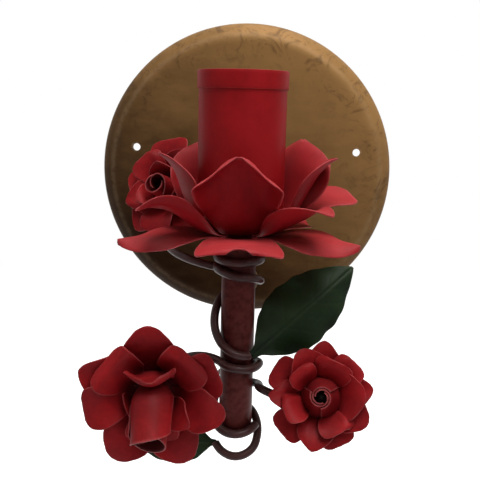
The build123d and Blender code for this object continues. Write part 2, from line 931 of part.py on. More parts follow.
for side, rose in (("left", left_rose()), ("right", right_rose()), ("back", back_rose())):
    for layer, shape in zip(("outer", "second", "inner", "bud"), rose):
        pieces[f"{side}_rose_{layer}"] = shape

os.makedirs("parts", exist_ok=True)
for name, shape in pieces.items():
    export_step(shape, f"parts/{name}.step")
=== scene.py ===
import json
import math

import bmesh
import bpy
from mathutils import Matrix, Vector


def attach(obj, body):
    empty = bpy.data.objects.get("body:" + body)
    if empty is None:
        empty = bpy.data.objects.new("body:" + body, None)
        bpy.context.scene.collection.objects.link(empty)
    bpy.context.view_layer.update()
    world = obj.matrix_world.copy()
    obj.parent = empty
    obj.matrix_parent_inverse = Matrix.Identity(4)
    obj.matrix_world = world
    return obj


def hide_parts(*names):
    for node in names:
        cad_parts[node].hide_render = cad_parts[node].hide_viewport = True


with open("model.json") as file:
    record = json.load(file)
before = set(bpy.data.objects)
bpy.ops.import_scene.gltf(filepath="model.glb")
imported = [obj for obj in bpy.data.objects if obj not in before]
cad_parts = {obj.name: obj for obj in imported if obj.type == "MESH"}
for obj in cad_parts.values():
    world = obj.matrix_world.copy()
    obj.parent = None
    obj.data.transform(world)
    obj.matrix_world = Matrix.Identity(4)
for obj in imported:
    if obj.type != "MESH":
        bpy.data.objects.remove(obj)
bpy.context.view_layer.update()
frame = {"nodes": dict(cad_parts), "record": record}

# Metres, Z up, the wall is Y = 0 and the room is on the -Y side.
mm = 0.001
stemY = -95 * mm
sheet = 0.8 * mm  # petals and leaves
hubSheet = 1.2 * mm
print("frame loaded:", len(frame["nodes"]), "nodes")


# Small helpers for node trees; they serve shader trees and geometry trees alike
def join(tree, source, target):
    tree.links.new(source, target)


def feed(tree, socket, value):
    # a number or colour is set on the socket, anything else is a link
    if isinstance(value, bpy.types.NodeSocket):
        join(tree, value, socket)
    else:
        socket.default_value = value


def addNode(tree, kind, inputs=None, **settings):
    node = tree.nodes.new(kind)
    for key, value in settings.items():
        setattr(node, key, value)
    for key, value in (inputs or {}).items():
        feed(tree, node.inputs[key], value)
    return node


def calc(tree, operation, *values, clamp=False):
    node = addNode(tree, "ShaderNodeMath", dict(enumerate(values)), operation=operation, use_clamp=clamp)
    return node.outputs[0]


def sums(tree, *operations):
    # one short function for each operation, within one tree
    def bound(operation):
        return lambda *values, **more: calc(tree, operation, *values, **more)
    return [bound(operation) for operation in operations]


def remap(tree, value, fromLow, fromHigh, toLow=0.0, toHigh=1.0):
    given = {"Value": value, "From Min": fromLow, "From Max": fromHigh, "To Min": toLow, "To Max": toHigh}
    return addNode(tree, "ShaderNodeMapRange", given, interpolation_type="SMOOTHSTEP").outputs["Result"]


def mixColour(tree, factor, first, second):
    return addNode(tree, "ShaderNodeMix", {0: factor, 6: first, 7: second}, data_type="RGBA").outputs[2]


def noiseOf(tree, vector, scale, detail=3.0, roughness=0.5, distortion=0.0):
    given = {"Vector": vector, "Scale": scale, "Detail": detail, "Roughness": roughness, "Distortion": distortion}
    return addNode(tree, "ShaderNodeTexNoise", given).outputs["Fac"]


def axesOf(tree, vector):
    return addNode(tree, "ShaderNodeSeparateXYZ", {0: vector}).outputs


def vectorOf(tree, **axes):
    return addNode(tree, "ShaderNodeCombineXYZ", axes).outputs[0]


def lengthOf(tree, vector):
    return addNode(tree, "ShaderNodeVectorMath", {0: vector}, operation="LENGTH").outputs["Value"]


def newGroup(name, kind, inputs, outputs):
    # the kind of an input follows from its default; geometry and material have none and go by their name
    group = bpy.data.node_groups.new(name, kind)
    kinds = {int: "Int", float: "Float", tuple: "Vector"}
    for label, default in inputs.items():
        socketType = "NodeSocket" + kinds.get(type(default), label)
        socket = group.interface.new_socket(label, in_out="INPUT", socket_type=socketType)
        if default is not None:
            socket.default_value = default
    for label in outputs:
        socketType = "NodeSocketGeometry" if label == "Geometry" else "NodeSocketFloat"
        group.interface.new_socket(label, in_out="OUTPUT", socket_type=socketType)
    return group, addNode(group, "NodeGroupInput").outputs, addNode(group, "NodeGroupOutput").inputs


def srgb(r, g, b):
    # a colour as it reads on screen, 0 to 255, to linear
    def linear(c):
        c = c / 255
        return c / 12.92 if c <= 0.04045 else ((c + 0.055) / 1.055) ** 2.4
    return (linear(r), linear(g), linear(b), 1.0)


# Shared effects
def effectTree(name, inputs, *outputs):
    return newGroup(name, "ShaderNodeTree", {"Vector": (0, 0, 0), **inputs}, outputs)


def buildPaintTone():
    # soft clouds and brush-wide streaks in a coat of paint
    tree, given, out = effectTree("paintTone", {"Scale": 40.0}, "Tone", "Fine")
    add, multiply = sums(tree, "ADD", "MULTIPLY")
    wide = noiseOf(tree, given["Vector"], given["Scale"], 4.0, 0.55, 0.4)
    fine = noiseOf(tree, given["Vector"], multiply(given["Scale"], 9.0), 3.0, 0.6)
    both = add(multiply(wide, 0.75), multiply(fine, 0.25))
    join(tree, remap(tree, both, 0.32, 0.68), out["Tone"])
    join(tree, fine, out["Fine"])
    return tree


def buildPaintSkin():
    # the slight orange peel of sprayed paint, and a few specks
    tree, given, out = effectTree("paintSkin", {"Peel": 900.0, "Specks": 0.3}, "Height")
    peel = noiseOf(tree, given["Vector"], given["Peel"], 2.0, 0.5)
    dots = addNode(tree, "ShaderNodeTexVoronoi", {"Vector": given["Vector"], "Scale": 260.0}, feature="F1")
    speck = calc(tree, "MULTIPLY", remap(tree, dots.outputs["Distance"], 0.10, 0.02), given["Specks"])
    join(tree, calc(tree, "ADD", peel, speck), out["Height"])
    return tree


def buildEdgeWear():
    # where paint is rubbed thin on rims, with a painted highlight along the same edges; Rim is 1 on an edge and 0 away
    # from it
    tree, given, out = effectTree("edgeWearAndHighlight", {"Rim": 0.0, "Amount": 0.6}, "Mask")
    add, multiply = sums(tree, "ADD", "MULTIPLY")
    breakUp = remap(tree, noiseOf(tree, given["Vector"], 260.0, 4.0, 0.65), 0.30, 0.62)
    mask = multiply(given["Rim"], add(0.45, breakUp))
    join(tree, multiply(mask, given["Amount"], clamp=True), out["Mask"])
    return tree


def buildDustFall():
    # fine dust that settles where a surface looks up, and with it a painted sheen of top light on those faces; Up is
    # the height part of its normal
    tree, given, out = effectTree("dustAndSheenFall", {"Up": 0.0, "Amount": 0.4}, "Mask")
    drift = remap(tree, noiseOf(tree, given["Vector"], 70.0, 5.0, 0.6, 0.3), 0.20, 0.75, 0.55, 1.0)
    laid = remap(tree, given["Up"], -0.05, 0.75)
    mask = calc(tree, "MULTIPLY", laid, drift)
    join(tree, calc(tree, "MULTIPLY", mask, given["Amount"], clamp=True), out["Mask"])
    return tree


effects = {effect.name: effect for effect in (buildPaintTone(), buildPaintSkin(), buildEdgeWear(), buildDustFall())}


def useEffect(tree, name, **values):
    return addNode(tree, "ShaderNodeGroup", values, node_tree=effects[name]).outputs


def newMaterial(name):
    made = bpy.data.materials.new(name)
    made.use_nodes = True
    tree = made.node_tree
    coords = addNode(tree, "ShaderNodeTexCoord").outputs["Object"]
    return made, tree, tree.nodes["Principled BSDF"].inputs, coords


def bumped(tree, shader, height, strength, distance):
    bump = addNode(tree, "ShaderNodeBump", {"Strength": strength, "Distance": distance, "Height": height})
    join(tree, bump.outputs["Normal"], shader["Normal"])


def attribute(tree, name):
    return addNode(tree, "ShaderNodeAttribute", attribute_name=name).outputs["Fac"]


def facingUp(tree):
    return axesOf(tree, addNode(tree, "ShaderNodeNewGeometry").outputs["Normal"])["Z"]


def paint(name, spec):
    # satin paint on sheet or wire: tone, painted shade in folds, dust with a painted sheen on upward faces, rubbed
    # rims with a painted highlight, orange peel
    made, tree, shader, coords = newMaterial(name)
    tone = useEffect(tree, "paintTone", Vector=coords, Scale=spec["cloudScale"])
    skin = useEffect(tree, "paintSkin", Vector=coords, Peel=spec["peelScale"], Specks=spec["specks"])
    wear = useEffect(tree, "edgeWearAndHighlight", Vector=coords, Rim=attribute(tree, "rim"), Amount=spec["wear"])
    # painted sheen: the dust layer also lightens upward faces as top light would
    dust = useEffect(tree, "dustAndSheenFall", Vector=coords, Up=facingUp(tree), Amount=spec["dust"])
    # painted shade: the fold value darkens petal roots, hubs and bud hollows towards the shade colour
    fold = calc(tree, "MULTIPLY", attribute(tree, "fold"), spec["foldDark"])
    colour = mixColour(tree, tone["Tone"], spec["deep"], spec["main"])
    for mask, layer in ((fold, "shade"), (dust["Mask"], "dustColour"), (wear["Mask"], "rimColour")):
        colour = mixColour(tree, mask, colour, spec[layer])
    join(tree, colour, shader["Base Color"])
    join(tree, calc(tree, "MULTIPLY_ADD", tone["Fine"], spec["roughVary"], spec["rough"]), shader["Roughness"])
    shader["Specular IOR Level"].default_value = spec["gloss"]
    bumped(tree, shader, skin["Height"], spec["bump"], 0.05 * mm)
    return made


# what paints have in common, and what each has of its own
# the shade colour is painted shade for folds and roots; the dust colour also paints a sheen of top light, and the rim
# colour a highlight on edges
paintBase = {
    "peelScale": 1100.0, "specks": 0.2, "wear": 0.3, "dust": 0.25, "foldDark": 0.5, "roughVary": 0.12, "gloss": 0.08,
    "bump": 0.25,
}
paintSpecs = {
    "petalRed": {
        "main": srgb(146, 20, 26), "deep": srgb(122, 14, 20), "shade": srgb(62, 5, 9), "rimColour": srgb(176, 88, 90),
        "dustColour": srgb(186, 92, 92), "dust": 0.23,
        "cloudScale": 32.0, "specks": 0.15, "wear": 0.26, "foldDark": 0.75, "rough": 0.44,
    },
    "smallRoseRed": {
        "main": srgb(138, 21, 25), "deep": srgb(106, 13, 17), "shade": srgb(38, 4, 7), "rimColour": srgb(166, 88, 88),
        "dustColour": srgb(160, 70, 68), "dust": 0.07,
        "cloudScale": 46.0, "specks": 0.15, "wear": 0.26, "foldDark": 0.85, "rough": 0.44,
    },
    "candleRed": {
        "main": srgb(142, 19, 24), "deep": srgb(124, 14, 18), "shade": srgb(76, 8, 12), "rimColour": srgb(160, 70, 60),
        "dustColour": srgb(170, 96, 84), "cloudScale": 26.0, "peelScale": 1000.0, "foldDark": 0.4, "rough": 0.42,
    },
    "stemMaroon": {
        "main": srgb(58, 12, 13), "deep": srgb(38, 7, 8), "shade": srgb(22, 5, 6), "rimColour": srgb(112, 56, 52),
        "dustColour": srgb(104, 72, 66), "cloudScale": 24.0, "peelScale": 900.0, "rough": 0.30, "gloss": 0.04,
    },
    "vineBrown": {
        "main": srgb(58, 21, 20), "deep": srgb(34, 12, 12), "shade": srgb(22, 9, 9), "rimColour": srgb(110, 76, 70),
        "dustColour": srgb(112, 88, 82), "dust": 0.30, "cloudScale": 50.0, "peelScale": 800.0, "specks": 0.4,
        "wear": 0.35, "rough": 0.28, "roughVary": 0.16, "gloss": 0.17, "bump": 0.4,
    },
    "leafGreen": {
        "main": srgb(24, 40, 18), "deep": srgb(12, 22, 11), "shade": srgb(8, 13, 8), "rimColour": srgb(76, 92, 60),
        "dustColour": srgb(74, 90, 62), "dust": 0.26, "cloudScale": 30.0, "peelScale": 900.0, "foldDark": 0.4,
        "rough": 0.34, "roughVary": 0.14, "bump": 0.3,
    },
}
# the X and Z slopes paint light on the plate, lighter to the upper right; the rubbed colour is wear with a painted
# highlight on the rim
bronze = {
    "dark": srgb(42, 25, 14), "light": srgb(142, 106, 64), "slopeX": 3.2, "slopeZ": 4.4,
    "stain": srgb(52, 34, 24), "stainShare": 0.32, "grime": srgb(58, 40, 28), "grimeShare": 0.55,
    "grimeFrom": 55 * mm, "grimeTo": 98 * mm, "rubbed": srgb(178, 154, 124), "wear": 0.3,
    "metallic": 0.1, "gloss": 0.03, "rough": 0.34, "roughVary": 0.14, "bump": 0.3,
}


def bronzePaint(name):
    # antique bronze: brown clouds over a pale gold base, with painted light that leaves it lighter to the upper right
    # and darker to the lower left, rubbed on the rim with a painted highlight there
    made, tree, shader, coords = newMaterial(name)
    add, multiply = sums(tree, "ADD", "MULTIPLY")
    slow = noiseOf(tree, coords, 9.0, 5.0, 0.6, 0.8)
    streak = addNode(tree, "ShaderNodeMapping", {"Vector": coords, "Scale": (30.0, 30.0, 75.0)})
    brush = noiseOf(tree, streak.outputs["Vector"], 1.0, 5.0, 0.65)
    fine = noiseOf(tree, coords, 420.0, 3.0, 0.6)
    axes = axesOf(tree, coords)
    # painted light: lighter towards +X and +Z, as the plate is lit from the upper right
    slope = add(multiply(axes["X"], bronze["slopeX"]), multiply(axes["Z"], bronze["slopeZ"]))
    light = add(add(multiply(slow, 0.55), multiply(brush, 0.45)), slope)
    colour = mixColour(tree, remap(tree, light, -0.02, 1.12), bronze["dark"], bronze["light"])
    stain = remap(tree, noiseOf(tree, coords, 34.0, 5.0, 0.7, 1.2), 0.56, 0.74)
    colour = mixColour(tree, multiply(stain, bronze["stainShare"]), colour, bronze["stain"])
    # grime gathers towards the edge
    grime = remap(tree, noiseOf(tree, coords, 62.0, 6.0, 0.75, 1.6), 0.50, 0.66)
    grime = multiply(grime, remap(tree, lengthOf(tree, coords), bronze["grimeFrom"], bronze["grimeTo"]))
    colour = mixColour(tree, multiply(grime, bronze["grimeShare"]), colour, bronze["grime"])
    wear = useEffect(tree, "edgeWearAndHighlight", Vector=coords, Rim=attribute(tree, "rim"), Amount=bronze["wear"])
    join(tree, mixColour(tree, wear["Mask"], colour, bronze["rubbed"]), shader["Base Color"])
    shader["Metallic"].default_value = bronze["metallic"]
    shader["Specular IOR Level"].default_value = bronze["gloss"]
    rough = calc(tree, "MULTIPLY_ADD", fine, bronze["roughVary"], bronze["rough"])
    join(tree, add(rough, multiply(stain, 0.1)), shader["Roughness"])
    bumped(tree, shader, add(multiply(brush, 0.7), multiply(fine, 0.3)), bronze["bump"], 0.12 * mm)
    return made


def plainMetal(name, spec):
    # turned or plated metal: fine grain and faint tarnish
    made, tree, shader, coords = newMaterial(name)
    tarnish = remap(tree, noiseOf(tree, coords, 90.0, 5.0, 0.6, 0.5), 0.45, 0.75)
    join(tree, mixColour(tree, tarnish, spec["main"], spec["dull"]), shader["Base Color"])
    shader["Metallic"].default_value = 1.0
    join(tree, calc(tree, "MULTIPLY_ADD", tarnish, 0.18, spec["rough"]), shader["Roughness"])
    bumped(tree, shader, noiseOf(tree, coords, spec["grain"], 4.0, 0.7), 0.25, 0.03 * mm)
    return made


def plainMoulding(name, spec):
    # moulded plastic or fired ceramic: faint mottle and a grain of its own
    made, tree, shader, coords = newMaterial(name)
    tone = useEffect(tree, "paintTone", Vector=coords, Scale=spec["cloudScale"])
    join(tree, mixColour(tree, tone["Tone"], spec["deep"], spec["main"]), shader["Base Color"])
    join(tree, calc(tree, "MULTIPLY_ADD", tone["Fine"], 0.15, spec["rough"]), shader["Roughness"])
    shader["Specular IOR Level"].default_value = spec["gloss"]
    bumped(tree, shader, noiseOf(tree, coords, spec["grain"], 2.0, 0.5), spec["bump"], 0.05 * mm)
    return made


metalSpecs = {
    "zincSteel": {"main": srgb(196, 198, 200), "dull": srgb(150, 150, 148), "grain": 700.0, "rough": 0.28},
    "brass": {"main": srgb(214, 178, 104), "dull": srgb(158, 120, 66), "grain": 800.0, "rough": 0.24},
}
mouldingSpecs = {
    "blackHolder": {"main": srgb(34, 33, 32), "deep": srgb(22, 21, 21), "cloudScale": 90.0, "rough": 0.42,
                    "gloss": 0.4, "grain": 1400.0, "bump": 0.4},
    "steatite": {"main": srgb(232, 226, 210), "deep": srgb(216, 208, 190), "cloudScale": 70.0, "rough": 0.55,
                 "gloss": 0.35, "grain": 1800.0, "bump": 0.5},
    "clearNylon": {"main": srgb(226, 226, 216), "deep": srgb(206, 206, 194), "cloudScale": 60.0, "rough": 0.35,
                   "gloss": 0.45, "grain": 1200.0, "bump": 0.2},
    "brownCore": {"main": srgb(96, 56, 32), "deep": srgb(80, 44, 24), "cloudScale": 80.0, "rough": 0.4,
                  "gloss": 0.45, "grain": 1500.0, "bump": 0.3},
    "blueCore": {"main": srgb(44, 84, 160), "deep": srgb(32, 66, 136), "cloudScale": 80.0, "rough": 0.4,
                 "gloss": 0.45, "grain": 1500.0, "bump": 0.3},
}

materials = {name: paint(name, {**paintBase, **spec}) for name, spec in paintSpecs.items()}
materials.update({name: plainMetal(name, spec) for name, spec in metalSpecs.items()})
materials.update({name: plainMoulding(name, spec) for name, spec in mouldingSpecs.items()})
materials["bronzePaint"] = bronzePaint("bronzePaint")
slotOf = {name: "".join("_" + c.lower() if c.isupper() else c for c in name) for name in materials}
slotOf["petalRed"] = slotOf["smallRoseRed"] = "rose_red"
print("materials:", len(materials))


# Pieces: a finished mesh rides on its body and stands for its CAD nodes
def bodyOf(node):
    for body, members in frame["record"]["behaviour"]["bodies"].items():
        if node in members:
            return body
    return "root"


def settle(piece, material, *nodes):
    piece.data.materials.clear()
    piece.data.materials.append(materials[material])
    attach(piece, bodyOf(nodes[0]))
    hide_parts(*nodes)
    return piece


def newObject(name, mesh):
    piece = bpy.data.objects.new(name, mesh)
    bpy.context.scene.collection.objects.link(piece)
    return piece


def meshOf(name, verts, faces):
    # its normals are turned outwards
    mesh = bpy.data.meshes.new(name)
    mesh.from_pydata(verts, [], faces)
    work = bmesh.new()
    work.from_mesh(mesh)
    bmesh.ops.recalc_face_normals(work, faces=work.faces)
    work.to_mesh(mesh)
    work.free()
    return mesh


def freeze(piece):
    # bakes the modifiers into a plain mesh
    graph = bpy.context.evaluated_depsgraph_get()
    graph.update()
    mesh = bpy.data.meshes.new_from_object(piece.evaluated_get(graph))
    piece.modifiers.clear()
    piece.data = mesh
    return piece


def smoothTo(mesh, degrees):
    mesh.shade_smooth()
    mesh.set_sharp_from_angle(angle=math.radians(degrees))


def setRim(mesh, degrees):
    # a rim value on sharp edges, for the wear of painted parts
    work = bmesh.new()
    work.from_mesh(mesh)
    layer = work.verts.layers.float.new("rim")
    for vert in work.verts:
        angles = [edge.calc_face_angle(0.0) for edge in vert.link_edges]
        vert[layer] = 1.0 if max(angles, default=0.0) > math.radians(degrees) else 0.0
    work.to_mesh(mesh)
    work.free()


def dressed(node, material, bevel):
    # a merged copy of a CAD node with its edges eased; its name is the node's, run together
    words = node.split("_")
    mesh = frame["nodes"][node].data.copy()
    work = bmesh.new()
    work.from_mesh(mesh)
    bmesh.ops.remove_doubles(work, verts=work.verts, dist=0.002 * mm)
    bmesh.ops.dissolve_degenerate(work, edges=work.edges, dist=0.001 * mm)
    bmesh.ops.recalc_face_normals(work, faces=work.faces)
    work.to_mesh(mesh)
    work.free()
    piece = newObject(words[0] + "".join(word.capitalize() for word in words[1:]), mesh)
    if bevel:
        ease = piece.modifiers.new("ease", "BEVEL")
        ease.width = bevel * mm
        ease.segments = 2
        ease.limit_method = "ANGLE"
        ease.angle_limit = math.radians(38)
        freeze(piece)
    setRim(piece.data, 20)
    smoothTo(piece.data, 42 if bevel else 30)
    return settle(piece, material, node)


# Profiles turned round an axis
def roundedLoop(points, radius, steps, closed=True):
    # a polygon with eased corners
    made = []
    count = len(points)
    for i, point in enumerate(points):
        if not closed and i in (0, count - 1):
            made.append(Vector(point))
            continue
        here = Vector(point)
        before, after = Vector(points[i - 1]), Vector(points[(i + 1) % count])
        cut = min(radius, 0.45 * (before - here).length, 0.45 * (after - here).length)
        a = here + (before - here).normalized() * cut
        b = here + (after - here).normalized() * cut
        for k in range(steps + 1):
            t = k / steps
            made.append(a * (1 - t) ** 2 + here * 2 * t * (1 - t) + b * t**2)
    return made


poleRadius = 1e-7  # a smaller ring is a single point


def ringOf(radius, height, segments):
    turns = [2 * math.pi * k / segments for k in range(segments)]
    return [Vector((radius * math.cos(turn), radius * math.sin(turn), height)) for turn in turns]


def lathe(name, profile, place, segments, closed=True):
    # profile holds (radius, height); radius 0 at both ends of an open profile closes at poles
    verts, faces, rings = [], [], []
    for radius, height in profile:
        if radius < poleRadius:
            verts.append(place @ Vector((0, 0, height)))
            rings.append([len(verts) - 1] * segments)
        else:
            rings.append(range(len(verts), len(verts) + segments))
            verts += [place @ spot for spot in ringOf(radius, height, segments)]
    for low, high in zip(rings, rings[1:] + rings[:1] if closed else rings[1:]):
        for k in range(segments):
            n = (k + 1) % segments
            corners = [low[k], low[n], high[n], high[k]]
            corners = [c for i, c in enumerate(corners) if c not in corners[:i]]
            if len(corners) > 2:
                faces.append(corners)
    return newObject(name, meshOf(name, verts, faces))


def upright(height):
    return Matrix.Translation((0, stemY, height))


def intoRoom(reach, height=0.0, side=0.0):
    # local Z points away from the wall
    return Matrix.Translation((side, -reach, height)) @ Matrix.Rotation(math.radians(90), 4, "X")


# Geometry Nodes: each tree has named inputs, ends in Realize Instances and Set Material
def geometryTree(name, inputs):
    return newGroup(name, "GeometryNodeTree", {"Geometry": None, **inputs, "Material": None}, ("Geometry",))


def endTree(tree, geometry, given, out):
    realize = addNode(tree, "GeometryNodeRealizeInstances", {0: geometry})
    finish = addNode(tree, "GeometryNodeSetMaterial", {"Geometry": realize.outputs[0], "Material": given["Material"]})
    join(tree, finish.outputs[0], out["Geometry"])
    return tree


def runTree(piece, tree, material, **values):
    # inputs are set by the socket's identifier before the first evaluation; what the tree lacks is skipped
    modifier = piece.modifiers.new(tree.name, "NODES")
    modifier.node_group = tree
    wanted = {**values, "material": materials[material]}
    for item in tree.interface.items_tree:
        key = item.name.replace(" ", "").lower()
        if item.item_type == "SOCKET" and item.in_out == "INPUT" and key in wanted:
            modifier[item.identifier] = wanted[key]
    return piece


def ringPoints(tree, radius, count):
    ring = addNode(tree, "GeometryNodeCurvePrimitiveCircle", {"Radius": radius})
    given = {"Curve": ring.outputs[0], "Count": count}
    return addNode(tree, "GeometryNodeCurveToPoints", given, mode="COUNT").outputs


def evenTurns(tree, count):
    # a turn about Z for each copy, shared out over the full circle
    index = addNode(tree, "GeometryNodeInputIndex").outputs[0]
    return vectorOf(tree, Z=calc(tree, "DIVIDE", calc(tree, "MULTIPLY", index, 2 * math.pi), count))


def copies(tree, points, shape, rotation, **more):
    given = {"Points": points, "Instance": shape, "Rotation": rotation, **more}
    return addNode(tree, "GeometryNodeInstanceOnPoints", given).outputs[0]


def smoothed(tree, geometry):
    return addNode(tree, "GeometryNodeSetShadeSmooth", {"Geometry": geometry}).outputs[0]


def buildDentTree():
    # a sheet that was beaten by hand: it wanders a little towards the room and back
    tree, given, out = geometryTree("handBeaten", {"Depth": 0.0003, "Scale": 30.0, "Reach": 0.014})
    subtract, multiply, divide = sums(tree, "SUBTRACT", "MULTIPLY", "DIVIDE")
    place = addNode(tree, "GeometryNodeInputPosition").outputs[0]
    dent = subtract(noiseOf(tree, place, given["Scale"], 2.0, 0.45), 0.5)
    free = divide(multiply(axesOf(tree, place)["Y"], -1.0), given["Reach"], clamp=True)
    shift = vectorOf(tree, Y=multiply(multiply(dent, given["Depth"]), free))
    moved = addNode(tree, "GeometryNodeSetPosition", {"Geometry": given["Geometry"], "Offset": shift})
    return endTree(tree, moved.outputs[0], given, out)


def buildBeadTree():
    # a ring of small weld beads
    tree, given, out = geometryTree("weldRing", {"Ring Radius": 0.003, "Bead Size": 0.0008, "Beads": 12, "Seed": 1})
    points = ringPoints(tree, given["Ring Radius"], given["Beads"])
    bead = addNode(tree, "GeometryNodeMeshIcoSphere", {"Subdivisions": 2, "Radius": given["Bead Size"]})
    sizes = {0: (0.8, 0.8, 0.5), 1: (1.35, 1.25, 0.9), "Seed": given["Seed"]}
    size = addNode(tree, "FunctionNodeRandomValue", sizes, data_type="FLOAT_VECTOR")
    placed = copies(tree, points[0], bead.outputs[0], points["Rotation"], Scale=size.outputs[0])
    return endTree(tree, smoothed(tree, placed), given, out)


def buildBudTree():
    # sheets rolled round each other; u runs round a sheet from its free edge inwards, w runs up it
    tree, given, out = geometryTree("rolledBud", {
        "Height": 0.03, "Outer": 0.0085, "Inner": 0.003, "Waist": 0.9, "Taper": 0.15, "Flare": 0.0012, "Sweep": 5.2,
        "Corner": 0.18, "Sink": 0.4, "Blades": 3,
    })
    add, subtract, multiply = sums(tree, "ADD", "SUBTRACT", "MULTIPLY")
    grid = addNode(tree, "GeometryNodeMeshGrid", {"Size X": 1.0, "Size Y": 1.0, "Vertices X": 49, "Vertices Y": 25})
    axes = axesOf(tree, addNode(tree, "GeometryNodeInputPosition").outputs[0])
    u, w = add(axes["X"], 0.5), add(axes["Y"], 0.5)
    angle = multiply(u, given["Sweep"])
    # the sheets hug each other at the root and part towards the mouth
    parted = multiply(u, remap(tree, w, 0.0, 1.0, 0.4, 1.0))
    closing = subtract(given["Outer"], multiply(parted, subtract(given["Outer"], given["Inner"])))
    narrowed = multiply(closing, subtract(1.0, multiply(w, given["Taper"])))
    narrowed = multiply(narrowed, remap(tree, w, 0.0, 0.4, given["Waist"], 1.0))
    lip = multiply(calc(tree, "POWER", w, 6.0), subtract(1.0, u))
    radius = add(narrowed, multiply(lip, given["Flare"]))
    # the top edge falls away towards the free edge, as a petal's corner does
    fall = multiply(calc(tree, "POWER", subtract(1.0, u), 5.0), given["Corner"])
    fall = add(fall, multiply(multiply(u, u), given["Sink"]))
    rise = multiply(multiply(w, subtract(1.0, fall)), given["Height"])
    x, y = (multiply(radius, calc(tree, operation, angle)) for operation in ("COSINE", "SINE"))
    spot = vectorOf(tree, X=x, Y=y, Z=rise)
    rolled = addNode(tree, "GeometryNodeSetPosition", {"Geometry": grid.outputs["Mesh"], "Position": spot})
    line = addNode(tree, "GeometryNodeMeshLine", {"Offset": (0, 0, 0), "Count": given["Blades"]})
    blades = copies(tree, line.outputs[0], rolled.outputs[0], evenTurns(tree, given["Blades"]))
    return endTree(tree, blades, given, out)


def buildRibTree():
    # upright grip ribs round a cylinder
    tree, given, out = geometryTree("gripRibs", {
        "Ring Radius": 0.0195, "Rib Size": (0.0006, 0.0012, 0.02), "Ribs": 36,
    })
    points = ringPoints(tree, given["Ring Radius"], given["Ribs"])
    rib = addNode(tree, "GeometryNodeMeshUVSphere", {"Segments": 8, "Rings": 8, "Radius": 0.5})
    shaped = addNode(tree, "GeometryNodeTransform", {"Geometry": rib.outputs[0], "Scale": given["Rib Size"]})
    placed = copies(tree, points[0], shaped.outputs[0], evenTurns(tree, given["Ribs"]))
    return endTree(tree, smoothed(tree, placed), given, out)


trees = {"dents": buildDentTree(), "beads": buildBeadTree(), "bud": buildBudTree(), "ribs": buildRibTree()}
print("geometry trees:", len(trees))


# Camera, at the photograph's place
camera = {
    "place": (14 * mm, -488 * mm, 47 * mm),
    "yaw": 2.0,  # to the left
    "pitch": 11.2,  # down
    "roll": 1.38,  # the object's top leans right
    "lens": 51.75,
}


def setCamera():
    yaw, pitch, roll = (math.radians(camera[key]) for key in ("yaw", "pitch", "roll"))
    ahead = Vector((-math.sin(yaw) * math.cos(pitch), math.cos(yaw) * math.cos(pitch), -math.sin(pitch)))
    right = Vector((math.cos(yaw), math.sin(yaw), 0))
    up = right.cross(ahead)
    tilted = right * math.cos(roll) + up * math.sin(roll)
    risen = up * math.cos(roll) - right * math.sin(roll)
    data = bpy.data.cameras.new("camera")
    data.lens = camera["lens"]
    data.sensor_width = 36.0
    data.clip_start = 0.01
    item = bpy.data.objects.new("camera", data)
    bpy.context.scene.collection.objects.link(item)
    turn = Matrix((tilted, risen, -ahead)).transposed().to_4x4()
    item.matrix_world = Matrix.Translation(camera["place"]) @ turn
    bpy.context.scene.camera = item


setCamera()


# Wall plate: a dished disc, a bevel and a skirt back to the wall, with two screw holes
plate = {
    "radius": 100 * mm, "depth": 14 * mm, "sheet": 1.2 * mm, "skirt": 6 * mm, "bevel": 8 * mm, "bend": 6.5 * mm,
    "holeSpacing": 150 * mm, "holeRise": 16 * mm, "holeRadius": 2.5 * mm,
    "armDrop": 75 * mm, "armHole": 7.1 * mm, "dent": 0.35 * mm, "dentScale": 26.0,
    "rubWidth": 1.6 * mm, "rub": 0.3, "segments": 192, "rings": 26,
}


def plateProfile():
    # outside from the middle of the face to the wall, then back along the inside
    half = plate["sheet"] / 2
    edge = plate["radius"] - half
    face = plate["depth"] - half
    flat = edge - plate["bevel"]

    def side(offset):
        slope = math.atan2(face - plate["skirt"], plate["bevel"])
        shift = offset * math.tan(slope / 2)
        tight = offset * math.tan((math.pi / 2 - slope) / 2)
        return [(flat + shift, face + offset), (edge + offset, plate["skirt"] + tight), (edge + offset, 0.0)]

    outside = roundedLoop([(0.0, face + half)] + side(half), plate["bend"], 6, closed=False)
    inside = roundedLoop([(0.0, face - half)] + side(-half), plate["bend"], 6, closed=False)
    fill = [Vector((flat * k / plate["rings"], 0)) for k in range(1, plate["rings"] - 1)]
    front = [outside[0]] + [Vector((p.x, face + half)) for p in fill] + outside[1:]
    back = [inside[0]] + [Vector((p.x, face - half)) for p in fill] + inside[1:]
    return front + back[::-1]


def makePlate():
    piece = lathe("wallPlate", plateProfile(), intoRoom(0.0), plate["segments"], closed=False)
    runTree(piece, trees["dents"], "bronzePaint", depth=plate["dent"], scale=plate["dentScale"], reach=plate["depth"])
    holes = [(plate["holeRadius"], side * plate["holeSpacing"] / 2, plate["holeRise"]) for side in (-1, 1)]
    holes.append((plate["armHole"], 0.0, -plate["armDrop"]))
    cutters = []
    for radius, side, rise in holes:
        low, high = -5 * mm, plate["depth"] + 5 * mm
        rod = [(0.0, low), (radius, low), (radius, high), (0.0, high)]
        cutter = lathe("cutter", [Vector(p) for p in rod], intoRoom(0.0, rise, side), 48, closed=False)
        cut = piece.modifiers.new("hole", "BOOLEAN")
        cut.object = cutter
        cut.solver = "EXACT"
        cutters.append(cutter)
    freeze(piece)
    for cutter in cutters:
        bpy.data.objects.remove(cutter)
    setRim(piece.data, 50)
    rimFromRadius(piece.data)
    smoothTo(piece.data, 40)
    settle(piece, "bronzePaint", "wall_plate")


